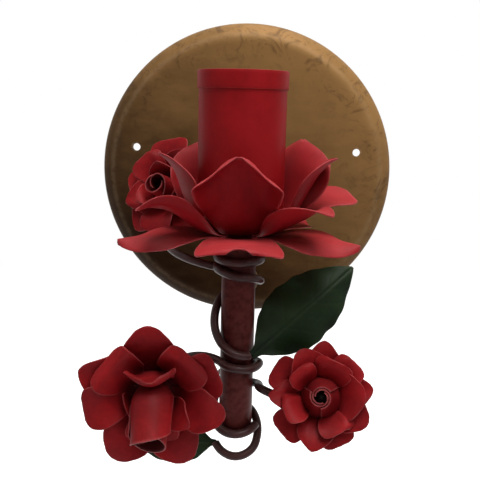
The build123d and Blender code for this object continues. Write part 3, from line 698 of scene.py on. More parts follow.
def rimFromRadius(mesh):
    # the rubbed line along the bend between face and bevel, and along the skirt, with a painted highlight along the
    # same line
    layer = mesh.attributes["rim"].data
    bends = (plate["radius"] - plate["bevel"], plate["radius"] - 0.3 * mm)
    for vert, item in zip(mesh.vertices, layer):
        away = math.hypot(vert.co.x, vert.co.z)
        near = min(abs(away - bend) for bend in bends)
        item.value = max(item.value, plate["rub"] * math.exp(-((near / plate["rubWidth"]) ** 2)))


makePlate()
print("wall plate done")


# Candle sleeve with eased edges, its band, and the lamp holder's thread and its foot
sleeve = {
    "radius": 24.7 * mm, "wall": 1.0 * mm, "bottom": -13.2 * mm, "top": 64.7 * mm,
    "bandSheet": 0.7 * mm, "bandHeight": 10 * mm, "bandGap": 0.1 * mm, "ease": 0.35 * mm,
    "segments": 128,
}
thread = {
    "bore": 13.3 * mm, "wall": 0.5 * mm, "bottom": 37.8 * mm, "height": 17 * mm, "pitch": 3.62 * mm,
    "depth": 0.42 * mm, "foot": 4 * mm, "ease": 0.15 * mm, "segments": 72, "rings": 84,
}


def ringProfile(bore, outer, low, high, steps=16):
    # a tube wall with rings up its length, so that bumps and dents have points to move
    inner = [(bore, low + (high - low) * k / steps) for k in range(steps, -1, -1)]
    outerSide = [(outer, low + (high - low) * k / steps) for k in range(steps + 1)]
    return roundedLoop(outerSide + inner, sleeve["ease"], 2)


def makeSleeve():
    tube = ringProfile(sleeve["radius"] - sleeve["wall"], sleeve["radius"], sleeve["bottom"], sleeve["top"])
    bore = sleeve["radius"] + sleeve["bandGap"]
    low = sleeve["top"] - sleeve["bandHeight"]
    band = ringProfile(bore, bore + sleeve["bandSheet"], low, sleeve["top"], 4)
    for name, node, profile in (("candleSleeve", "candle_sleeve", tube), ("sleeveBand", "sleeve_band", band)):
        piece = lathe(name, profile, upright(0.0), sleeve["segments"])
        setRim(piece.data, 20)
        smoothTo(piece.data, 50)
        settle(piece, "candleRed", node)


def makeThread():
    # the lamp holder's rolled thread: the inner skin follows a helix, the outer one is plain
    segments, rings = thread["segments"], thread["rings"]
    outer = thread["bore"] + thread["wall"] + 0.1 * thread["depth"] + 0.001 * mm
    verts, faces = [], []
    for skin in (0, 1):
        for i in range(rings + 1):
            height = thread["height"] * i / rings
            for k in range(segments):
                turn = 2 * math.pi * k / segments
                wave = 0.5 - 0.5 * math.cos(2 * math.pi * height / thread["pitch"] - turn)
                radius = outer if skin else thread["bore"] + thread["depth"] * wave
                verts.append((radius * math.cos(turn), stemY + radius * math.sin(turn), thread["bottom"] + height))

    def at(skin, i, k):
        return (skin * (rings + 1) + i) * segments + k % segments

    for i in range(rings):
        for k in range(segments):
            faces.append((at(0, i, k), at(0, i + 1, k), at(0, i + 1, k + 1), at(0, i, k + 1)))
            faces.append((at(1, i, k), at(1, i, k + 1), at(1, i + 1, k + 1), at(1, i + 1, k)))
    for k in range(segments):
        faces.append((at(0, 0, k), at(0, 0, k + 1), at(1, 0, k + 1), at(1, 0, k)))
        faces.append((at(0, rings, k), at(1, rings, k), at(1, rings, k + 1), at(0, rings, k + 1)))
    mesh = bpy.data.meshes.new("lampThread")
    mesh.from_pydata(verts, [], faces)
    smoothTo(mesh, 60)
    settle(newObject("lampThread", mesh), "brass", "lamp_thread")
    bore, wall = thread["bore"] + thread["wall"], thread["wall"]
    section = [(bore, 0.0), (bore + wall, 0.0), (bore + wall, thread["foot"]), (bore, thread["foot"])]
    profile = roundedLoop(section, thread["ease"], 2)
    foot = lathe("threadFoot", profile, upright(thread["bottom"] - thread["foot"]), segments)
    smoothTo(foot.data, 50)
    foot.data.materials.append(materials["brass"])
    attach(foot, "root")


makeSleeve()
makeThread()
print("sleeve and lamp thread done")


# Turned, bent and moulded parts that keep their CAD shape, with eased edges: material, then node and ease in mm
easedParts = {
    "bronzePaint": {"arm_tube": 0.2, "arm_collar": 0.5},
    "zincSteel": {
        "arm_nut": 0.4, "terminal_bar": 0.4, "terminal_screws": 0.12, "block_screw": 0.15, "stem_plug": 0.3,
        "nipple": 0.2, "nipple_nuts": 0.3, "holder_terminal_screws": 0.1,
    },
    "brass": {
        "terminal_clamps": 0.15, "earth_screw": 0.15, "earth_ring": 0.1, "holder_terminals": 0.2,
        "centre_contact": 0.12, "contact_foot": 0.12,
    },
    "clearNylon": {"terminal_block": 0.2},
    "stemMaroon": {"stem_tube": 0.35, "flower_spacer": 0.3, "sleeve_seat": 0.2},
    "blackHolder": {"holder_cap": 0.4, "holder_shell": 0.4},
    "steatite": {"holder_insert": 0.3},
    "brownCore": {"live_wire": 0.0},
    "blueCore": {"neutral_wire": 0.0},
    "vineBrown": {
        "vine_upper": 0.5, "vine_left_rose": 0.5, "vine_right_rose": 0.5, "vine_leaf": 0.5, "vine_back_rose": 0.5,
    },
}
stemFootBand = 1.5 * mm
stemFootDrop = 2.8 * mm  # the stem's foot reaches into the lowest turn of wire
ribs = {"ringradius": 19.4 * mm, "ribsize": (1.0 * mm, 1.5 * mm, 20 * mm), "ribs": 40}
ribsHeight = 43 * mm

for material, parts in easedParts.items():
    for node, ease in parts.items():
        dressed(node, material, ease)
stemVerts = bpy.data.objects["stemTube"].data.vertices
stemFoot = min(vert.co.z for vert in stemVerts)
for vert in stemVerts:
    if vert.co.z < stemFoot + stemFootBand:
        vert.co.z -= stemFootDrop
print("eased parts:", sum(len(parts) for parts in easedParts.values()))


def makeRibs():
    # grip ribs on the lamp holder's shell
    piece = newObject("holderRibs", bpy.data.meshes.new("holderRibs"))
    runTree(piece, trees["ribs"], "blackHolder", **ribs)
    freeze(piece)
    piece.data.transform(upright(ribsHeight))
    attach(piece, "root")


makeRibs()


# Petals and leaves: a sheet over a grid of (place along, place across), both skins and a rounded rim
def through(places, values):
    # a smooth curve through the values, which never overshoots them
    steps = [(b - a) / (q - p) for a, b, p, q in zip(values, values[1:], places, places[1:])]
    slopes = [steps[0]] + [0.0 if a * b <= 0 else 2 * a * b / (a + b) for a, b in zip(steps, steps[1:])] + [steps[-1]]

    def at(s):
        i = max(k for k, place in enumerate(places[:-1]) if place <= s or k == 0)
        span = places[i + 1] - places[i]
        t = (s - places[i]) / span
        return (values[i] * (1 + 2 * t) * (1 - t) ** 2 + slopes[i] * span * t * (1 - t) ** 2
                + values[i + 1] * t * t * (3 - 2 * t) + slopes[i + 1] * span * t * t * (t - 1))
    return at


halfColumns = (0.15, 0.30, 0.46, 0.62, 0.76, 0.88, 0.965, 1.0)
columns = tuple(-v for v in reversed(halfColumns)) + (0.0,) + halfColumns
petalRows = 34
rootShare = 0.12  # of a petal's length, under the hub
hubEase = 0.3 * mm
hubSegments = 48
# where along a petal each shaping sets in, and where it is full
grows = {
    "lean": (0.12, 0.45), "curl": (0.70, 1.0), "creased": (0.80, 0.85), "twist": (0.1, 1.0), "cup": (0.25, 0.7),
    "roll": (0.30, 0.7), "wave": (0.2, 0.6), "ess": (0.3, 0.7), "notch": (0.6, 1.0), "flap": (0.15, 0.4),
}


def blend(s, low, high):
    t = min(1.0, max(0.0, (s - low) / (high - low)))
    return t * t * (3 - 2 * t)


def petalGrid(shape, own):
    # shape: what the petals of a layer share; own: what this petal adds
    length = shape["length"] * own["size"]
    width = shape["width"] * own.get("wide", 1.0)
    rises = through(petalPlaces, shape["rises"])
    widths = through(*outlines[own.get("outline", shape["outline"])])
    lifts = through(petalPlaces, shape["lifts"])
    x = shape["hub"] - length * rootShare
    z = 0.0
    grid = []
    for i in range(petalRows + 1):
        s = (i / petalRows) ** 0.92
        grown = {key: blend(s, *span) for key, span in grows.items()}
        bend = own["lean"] * grown["lean"] + own.get("curl", 0.0) * grown["curl"]
        bend += own.get("creased", 0.0) * grown["creased"]
        rise = math.radians(rises(s) + bend)
        if i:
            x += length * (s - before) * math.cos(rise)
            z += length * (s - before) * math.sin(rise)
        before = s
        up = Vector((-math.sin(rise), 0, math.cos(rise)))
        twist = math.radians(own.get("twist", 0.0)) * grown["twist"]
        across = Vector((0, math.cos(twist), 0)) + up * math.sin(twist)
        outward = up * math.cos(twist) - Vector((0, math.sin(twist), 0))
        half = width * max(widths(s), 0.03) / 2
        local = width * widths(s)  # keeps the shaping in step where the sheet narrows
        row = []
        for v in columns:
            cup = (width * lifts(s) + local * own.get("cup", 0.0) * grown["cup"]) * v * v
            side = own.get("leftRoll" if v < 0 else "rightRoll", 0.0)
            roll = local * side * grown["roll"] * max(0.0, abs(v) - 0.45) ** 2
            wave = local * own.get("wave", 0.0) * math.sin(math.pi * (2.1 * s + 0.35 * v)) * v * v * grown["wave"]
            wave += local * own.get("ess", 0.0) * math.sin(math.pi * v) * grown["ess"]
            ahead = up.cross(Vector((0, 1, 0))) * (-width * own.get("notch", 0.0) * v * v * grown["notch"])
            flap = own.get("leftFlap" if v < 0 else "rightFlap", 0.0)
            past = max(0.0, abs(v) - 0.5) * half
            turned = math.radians(flap) * grown["flap"]
            reach = half * v - math.copysign(past * (1 - math.cos(turned)), v)
            drop = past * math.sin(turned)
            row.append(Vector((x, 0, z)) + across * reach + outward * (cup - roll + wave - drop) - ahead)
        grid.append(row)
    return grid


def gridNormals(grid):
    rows, count = len(grid), len(grid[0])
    made = []
    for i in range(rows):
        line = []
        for j in range(count):
            along = grid[min(i + 1, rows - 1)][j] - grid[max(i - 1, 0)][j]
            across = grid[i][min(j + 1, count - 1)] - grid[i][max(j - 1, 0)]
            line.append(along.cross(across).normalized())
        made.append(line)
    return made


def addSheet(parts, grid, place, foldFrom=1.0):
    # appends a closed sheet; "rim" is 1 on its edge, "fold" is painted shade that grows towards its root
    rows, count = len(grid), len(grid[0])
    normals = gridNormals(grid)
    base = len(parts["verts"])

    def put(point, rim, fold):
        parts["verts"].append(place @ point)
        parts["rim"].append(rim)
        parts["fold"].append(fold)

    for skin in (1, -1):
        for i in range(rows):
            for j in range(count):
                onEdge = j in (0, count - 1) or i == rows - 1
                s = i / (rows - 1)
                put(grid[i][j] + normals[i][j] * (sheet * 0.5 * skin), 0.55 if onEdge else 0.0,
                    foldFrom * (1 - blend(s, 0.05, 0.5)))
    loop = [(0, j) for j in range(count)] + [(i, count - 1) for i in range(1, rows)]
    loop += [(rows - 1, j) for j in range(count - 2, -1, -1)] + [(i, 0) for i in range(rows - 2, 0, -1)]
    middle = grid[rows // 2][count // 2]
    start = len(parts["verts"])
    for i, j in loop:
        inner = grid[min(max(i, 1), rows - 2)][min(max(j, 1), count - 2)]
        away = grid[i][j] - inner
        away = away.normalized() if away.length > 1e-9 else (grid[i][j] - middle).normalized()
        put(grid[i][j] + away * (sheet * 0.42), 1.0 if i else 0.0, 0.0 if i else foldFrom)

    def at(skin, i, j):
        return base + (skin * rows + i) * count + j

    for i in range(rows - 1):
        for j in range(count - 1):
            parts["faces"].append((at(0, i, j), at(0, i + 1, j), at(0, i + 1, j + 1), at(0, i, j + 1)))
            parts["faces"].append((at(1, i, j), at(1, i, j + 1), at(1, i + 1, j + 1), at(1, i + 1, j)))
    for k, (i, j) in enumerate(loop):
        n = (k + 1) % len(loop)
        i2, j2 = loop[n]
        parts["faces"].append((at(0, i, j), at(0, i2, j2), start + n, start + k))
        parts["faces"].append((start + k, start + n, at(1, i2, j2), at(1, i, j)))


def addHub(parts, radius, hole, place):
    # the disc that the petals of a layer are cut with
    ring = roundedLoop([(radius, 0.0), (radius, hubSheet), (hole, hubSheet), (hole, 0.0)], hubEase, 2)
    base, count = len(parts["verts"]), len(ring)
    for away, height in ring:
        parts["verts"] += [place @ spot for spot in ringOf(away, height, hubSegments)]
    parts["rim"] += [0.0] * (count * hubSegments)
    # the hub under the petals is in full painted shade
    parts["fold"] += [1.0] * (count * hubSegments)
    for a in range(count):
        low, high = base + a * hubSegments, base + ((a + 1) % count) * hubSegments
        for k in range(hubSegments):
            n = (k + 1) % hubSegments
            parts["faces"].append((low + k, low + n, high + n, high + k))


def newParts():
    return {"verts": [], "faces": [], "rim": [], "fold": []}


def partsToObject(name, parts):
    mesh = meshOf(name, parts["verts"], parts["faces"])
    for key in ("rim", "fold"):
        layer = mesh.attributes.new(key, "FLOAT", "POINT")
        layer.data.foreach_set("value", parts[key])
    smoothTo(mesh, 75)
    return newObject(name, mesh)


petalPlaces = (0, 0.12, 0.30, 0.50, 0.70, 0.87, 1)
# outlines: place along the petal, share of its width
outlines = {
    "bracket": ((0, 0.12, 0.24, 0.38, 0.50, 0.59, 0.66, 0.74, 0.84, 0.92, 0.97, 1),
                (0.26, 0.30, 0.50, 0.80, 0.96, 1.00, 0.93, 0.76, 0.54, 0.36, 0.21, 0.06)),
    "ogee": ((0, 0.12, 0.24, 0.38, 0.52, 0.66, 0.755, 0.80, 0.845, 0.90, 0.95, 0.98, 1),
             (0.26, 0.30, 0.44, 0.66, 0.82, 0.95, 1.00, 0.94, 0.74, 0.56, 0.44, 0.30, 0.08)),
    "spade": ((0, 0.12, 0.24, 0.40, 0.54, 0.66, 0.78, 0.88, 0.95, 1),
              (0.26, 0.30, 0.48, 0.80, 0.97, 1.00, 0.84, 0.60, 0.42, 0.14)),
    "shield": ((0, 0.12, 0.24, 0.40, 0.54, 0.64, 0.76, 0.87, 0.95, 0.985, 1),
               (0.26, 0.30, 0.48, 0.80, 0.97, 1.00, 0.86, 0.58, 0.30, 0.16, 0.05)),
    "round": ((0, 0.12, 0.24, 0.40, 0.56, 0.70, 0.82, 0.90, 0.96, 1),
              (0.28, 0.32, 0.48, 0.78, 0.97, 1.00, 0.88, 0.68, 0.42, 0.06)),
    "blunt": ((0, 0.12, 0.24, 0.40, 0.60, 0.76, 0.88, 0.95, 0.985, 1),
              (0.26, 0.30, 0.46, 0.74, 0.92, 1.00, 0.95, 0.80, 0.60, 0.30)),
    "square": ((0, 0.12, 0.24, 0.40, 0.60, 0.78, 0.90, 0.96, 1),
               (0.26, 0.30, 0.46, 0.72, 0.90, 1.00, 0.94, 0.80, 0.52)),
}
flatLifts = (0, 0, 0.02, 0.0, -0.05, -0.09, -0.06)
cuppedLifts = (0, 0, 0.03, 0.13, 0.13, 0.06, 0.02)
roseLifts = (0, 0, 0.05, 0.11, 0.10, 0.04, 0.0)


def makeLayer(name, node, material, shape, petals, place, hole):
    parts = newParts()
    addHub(parts, shape["hub"], hole, place)
    raised = place @ Matrix.Translation((0, 0, hubSheet / 2))
    for own in petals:
        turned = raised @ Matrix.Rotation(math.radians(own["heading"]), 4, "Z")
        addSheet(parts, petalGrid(shape, own), turned)
    return settle(partsToObject(name, parts), material, node)


def petal(heading, size=1.0, lean=0, **more):
    # angles in degrees; size and wide are factors, the other measures are shares of the petal's width
    return dict(more, heading=heading, size=size, lean=lean)


# Flower: headings are turned from the front of the sconce, + towards +X
flower = {
    "hub": 12 * mm, "hole": 5.1 * mm, "hubHeight": -28 * mm,
    "lower": {
        "shape": {"length": 66 * mm, "width": 45 * mm, "rises": (0, 0, 6, 2, -3, -6, -6), "lifts": flatLifts},
        "petals": (
            petal(2, 0.96, 5, curl=10, cup=-0.02, outline="blunt", notch=0.03),
            petal(72, 1.0, -1, curl=4, twist=8, cup=-0.02),
            petal(144, 0.9, 4, curl=8),
            petal(216, 0.6, -8, curl=6),
            petal(288, 1.0, -2, curl=6, twist=-6, cup=-0.02),
        ),
    },
    "middle": {
        "shape": {"length": 66 * mm, "width": 42 * mm, "rises": (0, 0, 20, 34, 22, 10, 3),
                  "lifts": (0, 0, 0.03, 0.08, 0.08, 0.04, 0.0)},
        "petals": (
            petal(50, 0.99, 4, curl=-24, cup=0.02, wave=0.06, twist=-8, outline="shield", wide=0.76),
            petal(103, 1.04, 3, curl=-4, twist=12, outline="square", wide=0.82),
            petal(180, 0.9),
            petal(252, 0.72, 4, curl=-10),
            petal(310, 1.06, 4, curl=-26, cup=0.02, wave=0.07, twist=20, ess=-0.05, outline="round", wide=0.68),
        ),
    },
    "upper": {
        "shape": {"length": 70 * mm, "width": 44 * mm, "rises": (0, 0, 30, 66, 66, 58, 40), "lifts": cuppedLifts},
        "petals": (
            petal(0, 0.9, 14, curl=-4, wide=1.06, outline="ogee", leftRoll=1.5, rightRoll=1.5),
            petal(82, 1.03, -3, curl=-8, outline="round", wide=0.62, cup=0.05),
            petal(125, 1.06, 10, outline="round", wide=1.4, cup=-0.2),
            petal(218, 1.0, 8, curl=-2, outline="round", wide=1.2, cup=-0.12),
            petal(288, 0.98, 5, curl=-14, outline="shield", wide=0.9),
        ),
    },
}


def makeFlower():
    for level, layer in enumerate(("lower", "middle", "upper")):
        spec = flower[layer]
        petals = [dict(own, heading=own["heading"] - 90) for own in spec["petals"]]
        place = upright(flower["hubHeight"] + level * hubSheet)
        shape = dict(spec["shape"], hub=flower["hub"], outline="bracket")
        makeLayer(layer + "Petals", "flower_petals_" + layer, "petalRed", shape, petals, place, flower["hole"])


makeFlower()
print("flower done")


# Roses: each stands on its wire and faces along its own axis; heading 0 is right, 90 is up
def rosePlace(spec):
    facing = Vector(spec["facing"]).normalized()
    right = (Vector((1, 0, 0)) - facing * facing.x).normalized()
    up = facing.cross(right)
    turn = Matrix((right, up, facing)).transposed().to_4x4()
    return Matrix.Translation(spec["place"]) @ turn


roseRises = {
    "outer": (0, 0, 26, 24, 14, 0, -14), "second": (0, 0, 46, 42, 30, 14, 0), "inner": (0, 0, 80, 82, 78, 66, 48),
}
wireHole = 2.3 * mm  # in a rose's hub, round the end of its wire
roses = {
    "left": {
        "place": (-46 * mm, -118 * mm, -115 * mm), "facing": (0.05, -1.0, 0.0), "hub": 10 * mm,
        "outer": {"length": 38 * mm, "width": 33 * mm, "petals": (
            petal(161, 1.05, outline="bracket", curl=8),
            petal(94, 0.99, 4, outline="spade", curl=6, wide=0.9),
            petal(22, 0.92, 2, outline="square", curl=6, wide=0.86),
            petal(-64, 1.09, outline="spade", wide=0.84),
            petal(-119, 1.1, outline="spade", wide=0.84),
        )},
        "second": {"length": 37 * mm, "width": 30 * mm, "petals": (
            petal(141, 0.92, 4, outline="square", creased=-50),
            petal(47, 0.87, 4, outline="square", wide=0.96, creased=-50),
            petal(-11, 1.14, outline="spade", curl=-10, wide=0.88),
            petal(-90, 0.6, -6, outline="blunt"),
            petal(-171, 1.0, -2, outline="square", curl=-8, wide=0.85),
        )},
        "inner": {"length": 30 * mm, "width": 25 * mm, "petals": (
            petal(91, 0.98, 20, outline="blunt", curl=-36, wide=1.12, cup=-0.34, wave=0.06),
            petal(225, 0.56, -4),
            petal(-30, 1.0, -12, curl=-40, wave=0.06, wide=0.7),
        )},
        "bud": {"height": 39 * mm, "outer": 13.2 * mm, "inner": 7.6 * mm, "waist": 0.66, "taper": 0.14,
                "flare": 0.6 * mm, "sweep": 5.6, "corner": 0.26, "sink": 0.36, "lean": 48.0, "blades": 2,
                "spin": 14, "shade": 0.0},
    },
    "right": {
        "place": (50 * mm, -114 * mm, -118 * mm), "facing": (-0.10, -0.91, 0.40), "hub": 7.5 * mm,
        "outer": {"length": 28.5 * mm, "width": 22 * mm, "petals": (
            petal(87, 1.02, outline="bracket"),
            petal(150, outline="square", curl=10, wide=0.9),
            petal(-138, 0.95, outline="square", wide=0.9),
            petal(-67, 0.87, outline="square", twist=-8, wide=0.86),
            petal(11, 0.92, outline="bracket", curl=8),
        )},
        "second": {"length": 28 * mm, "width": 21 * mm, "petals": (
            petal(48, 0.92, -4, outline="square", rightFlap=40, wide=0.95),
            petal(114, 0.98, -4, outline="spade", twist=14),
            petal(180, 1.04, outline="bracket", leftFlap=40, twist=12),
            petal(-99, 1.02, -6, outline="shield", leftFlap=24),
            petal(-28, 1.0, -4, outline="spade", leftFlap=20),
        )},
        "inner": {"length": 22 * mm, "width": 19 * mm, "petals": (
            petal(68, 1.0, -32, outline="square", wide=1.2, rightFlap=34),
            petal(130, 1.05, -16, outline="square", curl=-46, leftFlap=30, wide=0.9),
            petal(200, 1.15, -20, outline="square", curl=-30, leftFlap=46, twist=14),
            petal(-58, 1.0, -32, outline="square", rightFlap=50, wide=1.1),
            petal(4, 1.15, -36, outline="spade", wide=1.35),
        )},
        "bud": {"height": 15 * mm, "outer": 12.6 * mm, "inner": 6.4 * mm, "waist": 1.0, "taper": 0.52, "flare": 0.0,
                "sweep": 4.6, "corner": 0.0, "sink": -0.04, "lean": 0.0, "blades": 3, "spin": 30, "shade": 0.5},
    },
    "back": {
        "place": (-46 * mm, -37 * mm, -12 * mm), "facing": (-0.45, -0.80, 0.38), "hub": 7.5 * mm,
        "outer": {"length": 32 * mm, "width": 29 * mm, "petals": (
            petal(90, 1.02, outline="square", curl=10),
            petal(158, outline="bracket", curl=14),
            petal(226, outline="bracket"),
            petal(292, 1.06, outline="square"), petal(18),
        )},
        "second": {"length": 28 * mm, "width": 24 * mm, "petals": (
            petal(54),
            petal(126, 1.04, outline="square", leftFlap=40),
            petal(194, 1.04, outline="bracket", rightFlap=40),
            petal(262, 1.04, outline="square", curl=-20),
            petal(342),
        )},
        "inner": {"length": 24 * mm, "width": 20 * mm, "petals": (
            petal(90), petal(210, 1.0, -6, curl=-20),
            petal(330, 1.0, -6),
        )},
        "bud": {"height": 20 * mm, "outer": 9 * mm, "inner": 4.2 * mm, "waist": 0.9, "taper": 0.12, "flare": 0.6 * mm,
                "sweep": 4.8, "corner": 0.25, "sink": 0.2, "lean": 0.0, "blades": 2, "spin": 120, "shade": 0.2},
    },
}


def bendDown(mesh, height, lean):
    # the roll's axis leaves the rose straight and turns down over its first half
    steps = 60
    path = [(0.0, 0.0)]
    for k in range(steps):
        turned = lean * blend((k + 0.5) / steps, 0.0, 0.5)
        y, z = path[-1]
        path.append((y - math.sin(turned) * height / steps, z + math.cos(turned) * height / steps))
    for vert in mesh.vertices:
        share = min(1.0, max(0.0, vert.co.z / height))
        k = min(steps - 1, int(share * steps))
        part = share * steps - k
        turned = lean * blend(share, 0.0, 0.5)
        y = path[k][0] + (path[k + 1][0] - path[k][0]) * part
        z = path[k][1] + (path[k + 1][1] - path[k][1]) * part
        vert.co = (vert.co.x, y + vert.co.y * math.cos(turned), z + vert.co.y * math.sin(turned))


def makeBud(side, spec, place):
    bud = spec["bud"]
    piece = newObject(side + "RoseBud", bpy.data.meshes.new(side + "RoseBud"))
    runTree(piece, trees["bud"], "smallRoseRed", **bud)
    wall = piece.modifiers.new("wall", "SOLIDIFY")
    wall.thickness = sheet
    wall.offset = 0.0
    freeze(piece)
    mesh = piece.data
    mesh.transform(Matrix.Rotation(math.radians(bud["spin"]), 4, "Z"))
    mouth = bud["inner"] * (1 - bud["taper"])
    work = bmesh.new()
    work.from_mesh(mesh)
    bmesh.ops.recalc_face_normals(work, faces=work.faces)
    work.normal_update()
    rim = work.verts.layers.float.new("rim")
    fold = work.verts.layers.float.new("fold")
    for vert in work.verts:
        sharp = max((edge.calc_face_angle(0.0) for edge in vert.link_edges), default=0.0)
        vert[rim] = 1.0 if sharp > math.radians(50) else 0.0
        away = math.hypot(vert.co.x, vert.co.y)
        inward = -(vert.normal.x * vert.co.x + vert.normal.y * vert.co.y) / away
        # painted shade inside the mouth, on inward-facing sheets, towards the root, and the bud's shade share all over
        hollowShade = max(1 - blend(away, 0.9 * mouth, 1.3 * mouth), blend(inward, 0.0, 0.6))
        vert[fold] = max(hollowShade, 1.0 - blend(vert.co.z, 0.0, 0.6 * bud["height"]), bud["shade"])
    work.to_mesh(mesh)
    work.free()
    bendDown(mesh, bud["height"], math.radians(bud["lean"]))
    mesh.transform(place @ Matrix.Translation((0, 0, 3 * hubSheet)))
    smoothTo(mesh, 50)
    settle(piece, "smallRoseRed", side + "_rose_bud")


def makeRose(side):
    spec = roses[side]
    place = rosePlace(spec)
    for level, layer in enumerate(("outer", "second", "inner")):
        own = spec[layer]
        shape = {"length": own["length"], "width": own["width"], "rises": roseRises[layer], "lifts": roseLifts,
                 "outline": "shield", "hub": spec["hub"]}
        stacked = place @ Matrix.Translation((0, 0, level * hubSheet))
        name = side + "Rose" + layer.capitalize()
        makeLayer(name, f"{side}_rose_{layer}", "smallRoseRed", shape, own["petals"], stacked, wireHole)
    makeBud(side, spec, place)


for side in roses:
    makeRose(side)
print("roses done")


# Leaves: a creased sheet with pressed veins and a wavy edge
leaves = {
    "large": {
        "length": 82 * mm, "width": 40 * mm, "veins": 7, "wave": 0.030, "shift": (0, 0, 0),
        "rises": (8, 8, 4, 0, -4, -8, -10), "along": (0.731, 0.315, 0.605), "normal": (0.138, -0.937, 0.321),
    },
    "small": {
        "length": 53 * mm, "width": 24.5 * mm, "veins": 6, "wave": 0.035, "shift": (1.2 * mm, 0, -2.4 * mm),
        "rises": (10, 8, 4, 0, -6, -10, -12), "along": (-0.97, 0.10, -0.07), "normal": (-0.15, -0.85, 0.50),
    },
}
leafPlaces = (0, 0.08, 0.25, 0.45, 0.65, 0.85, 1)
leafOutline = ((0, 0.05, 0.12, 0.25, 0.42, 0.60, 0.76, 0.88, 0.95, 1),
               (0.12, 0.16, 0.40, 0.80, 1.0, 0.94, 0.72, 0.42, 0.20, 0.03))
leafLifts = (-0.01, -0.02, -0.12, -0.16, -0.13, -0.08, -0.02)
leafRows, leafColumns = 96, 57
leafRoot = 1.2 * mm
groove = {"middle": 0.55 * mm, "middleWidth": 0.9 * mm, "side": 0.14 * mm, "sideWidth": 0.7 * mm}


def leafBase(node, along):
    # the CAD leaf's root, the lowest of its points along its own direction
    ahead = Vector(along).normalized()
    points = [vert.co for vert in frame["nodes"][node].data.vertices]
    start = min(point.dot(ahead) for point in points)
    root = [point for point in points if point.dot(ahead) < start + leafRoot]
    return sum(root, Vector()) / len(root)


def makeLeaf(name, node, spec):
    ahead = Vector(spec["along"]).normalized()
    normal = Vector(spec["normal"]).normalized()
    normal = (normal - ahead * normal.dot(ahead)).normalized()
    across = normal.cross(ahead)
    turn = Matrix((ahead, across, normal)).transposed().to_4x4()
    place = Matrix.Translation(leafBase(node, spec["along"]) + Vector(spec["shift"])) @ turn
    rises = through(leafPlaces, spec["rises"])
    widths = through(*leafOutline)
    lifts = through(leafPlaces, leafLifts)
    x, z, before = 0.0, 0.0, 0.0
    grid = []
    for i in range(leafRows + 1):
        s = i / leafRows
        rise = math.radians(rises(s))
        x += spec["length"] * (s - before) * math.cos(rise)
        z += spec["length"] * (s - before) * math.sin(rise)
        before = s
        up = Vector((-math.sin(rise), 0, math.cos(rise)))
        scallop = 1 + 0.018 * math.sin(2 * math.pi * s * spec["veins"]) * blend(s, 0.1, 0.3)
        half = spec["width"] * widths(s) * scallop / 2
        row = []
        for j in range(leafColumns):
            v = -1 + 2 * j / (leafColumns - 1)
            fold = spec["width"] * lifts(s) * (abs(v) ** 1.25)
            swell = math.sin(2 * math.pi * (s * spec["veins"] * 0.5 + 0.13 * v))
            ripple = spec["width"] * spec["wave"] * swell * v * v
            press = veinDepth(s, v, half, spec)
            row.append(Vector((x, half * v, z)) + up * (fold + ripple - press))
        grid.append(row)
    parts = newParts()
    # painted shade towards the leaf's root
    addSheet(parts, grid, place, 0.6)
    settle(partsToObject(name, parts), "leafGreen", node)


def veinDepth(s, v, half, spec):
    # a groove down the middle, and side veins that sweep forward to the edge
    middle = groove["middle"] * math.exp(-((v * half / groove["middleWidth"]) ** 2))
    phase = (s - 0.22 * abs(v) - 0.02) * spec["veins"]
    away = abs(phase - round(phase)) / spec["veins"] * spec["length"]
    side = groove["side"] * math.exp(-((away / groove["sideWidth"]) ** 2))
    side = side * (1 - blend(abs(v), 0.75, 1.0)) * blend(s, 0.08, 0.16)
    return middle + side * (1 - blend(s, 0.85, 0.97))


for size, spec in leaves.items():
    makeLeaf(size + "Leaf", "leaf_" + size, spec)
print("leaves done")


# Weld beads: behind each rose, at the arm's foot and under the flower
roseWeld = {"ring": 2.8 * mm, "bead": 0.7 * mm, "beads": 22}
welds = [
    dict(roseWeld, name=side + "RoseWeld", at=rosePlace(roses[side]), seed=seed)
    for side, seed in (("left", 3), ("right", 5), ("back", 8))
]
welds.append({"name": "armStemWeld", "at": intoRoom(84.6 * mm, -75 * mm), "ring": 7.2 * mm, "bead": 0.9 * mm,
              "beads": 30, "seed": 11})
for weld in welds:
    bead = newObject(weld["name"], bpy.data.meshes.new(weld["name"]))
    runTree(bead, trees["beads"], "vineBrown", ringradius=weld["ring"], beadsize=weld["bead"], beads=weld["beads"],
            seed=weld["seed"])
    freeze(bead)
    bead.data.transform(weld["at"] @ Matrix.Translation((0, 0, -weld["bead"])))
    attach(bead, "root")
print("welds done:", len(welds))


# Floor, world and lamps
stage = {
    "floor": -0.30, "floorSize": 6.0, "ambient": 0.11,
    "floorGlow": 0.80, "shadowReach": 0.35, "shadowEnd": 1.1,
    "lamps": (
        {"name": "overhead", "place": (0.12, -0.28, 1.15), "aim": (0, -0.08, -0.05), "size": 0.9, "power": 20.0},
        {"name": "rightKey", "place": (0.60, -0.9, 1.0), "aim": (0, -0.05, -0.02), "size": 0.5, "power": 6.0},
        {"name": "leftFill", "place": (-1.0, -0.7, 0.35), "aim": (0, -0.05, -0.05), "size": 0.8, "power": 0.8},
    ),
}


def seenDirectly(tree):
    # 1 for rays that show the background: camera, glossy and transmission rays
    path = addNode(tree, "ShaderNodeLightPath")
    both = calc(tree, "MAXIMUM", path.outputs["Is Camera Ray"], path.outputs["Is Glossy Ray"])
    return calc(tree, "MAXIMUM", both, path.outputs["Is Transmission Ray"])


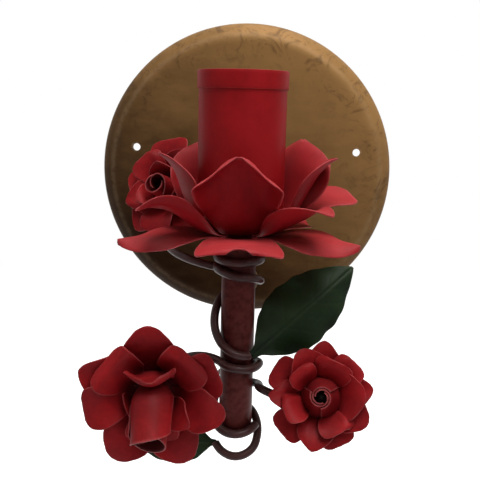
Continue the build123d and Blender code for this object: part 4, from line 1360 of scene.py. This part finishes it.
def setWorld():
    world = bpy.data.worlds.new("studio")
    bpy.context.scene.world = world
    world.use_nodes = True
    tree = world.node_tree
    tree.nodes.clear()
    dim, white = (
        addNode(tree, "ShaderNodeBackground", {"Color": (1, 1, 1, 1), "Strength": strength}).outputs[0]
        for strength in (stage["ambient"], 1.0)
    )
    mix = addNode(tree, "ShaderNodeMixShader", {0: seenDirectly(tree), 1: dim, 2: white})
    addNode(tree, "ShaderNodeOutputWorld", {"Surface": mix.outputs[0]})


def setFloor():
    half = stage["floorSize"] / 2
    mesh = bpy.data.meshes.new("floor")
    corners = [(-half, -half), (half, -half), (half, half), (-half, half)]
    mesh.from_pydata([(x, y, stage["floor"]) for x, y in corners], [], [(0, 1, 2, 3)])
    floor = newObject("floor", mesh)
    made = bpy.data.materials.new("paleFloor")
    made.use_nodes = True
    tree = made.node_tree
    shader = tree.nodes["Principled BSDF"]
    shader.inputs["Base Color"].default_value = (0.86, 0.86, 0.86, 1)
    shader.inputs["Roughness"].default_value = 0.9
    shader.inputs["Specular IOR Level"].default_value = 0.0
    # near the object the floor glows a little and takes its shadow, further out it is plain white
    direct = seenDirectly(tree)
    glow = addNode(tree, "ShaderNodeEmission", {"Strength": calc(tree, "MULTIPLY", direct, stage["floorGlow"])})
    both = addNode(tree, "ShaderNodeAddShader", {0: shader.outputs[0], 1: glow.outputs[0]})
    away = lengthOf(tree, addNode(tree, "ShaderNodeTexCoord").outputs["Object"])
    outer = remap(tree, away, stage["shadowReach"], stage["shadowEnd"])
    white = addNode(tree, "ShaderNodeEmission")
    shares = {0: calc(tree, "MULTIPLY", direct, outer), 1: both.outputs[0], 2: white.outputs[0]}
    mix = addNode(tree, "ShaderNodeMixShader", shares)
    join(tree, mix.outputs[0], tree.nodes["Material Output"].inputs["Surface"])
    mesh.materials.append(made)


def setLamps():
    for spec in stage["lamps"]:
        data = bpy.data.lights.new(spec["name"], "AREA")
        data.shape = "DISK"
        data.size = spec["size"]
        data.energy = spec["power"]
        lamp = bpy.data.objects.new(spec["name"], data)
        bpy.context.scene.collection.objects.link(lamp)
        away = Vector(spec["place"]) - Vector(spec["aim"])
        lamp.location = spec["place"]
        lamp.rotation_euler = away.to_track_quat("Z", "Y").to_euler()


setWorld()
setFloor()
setLamps()
bpy.context.scene.view_settings.view_transform = "Standard"

print("scene ready")
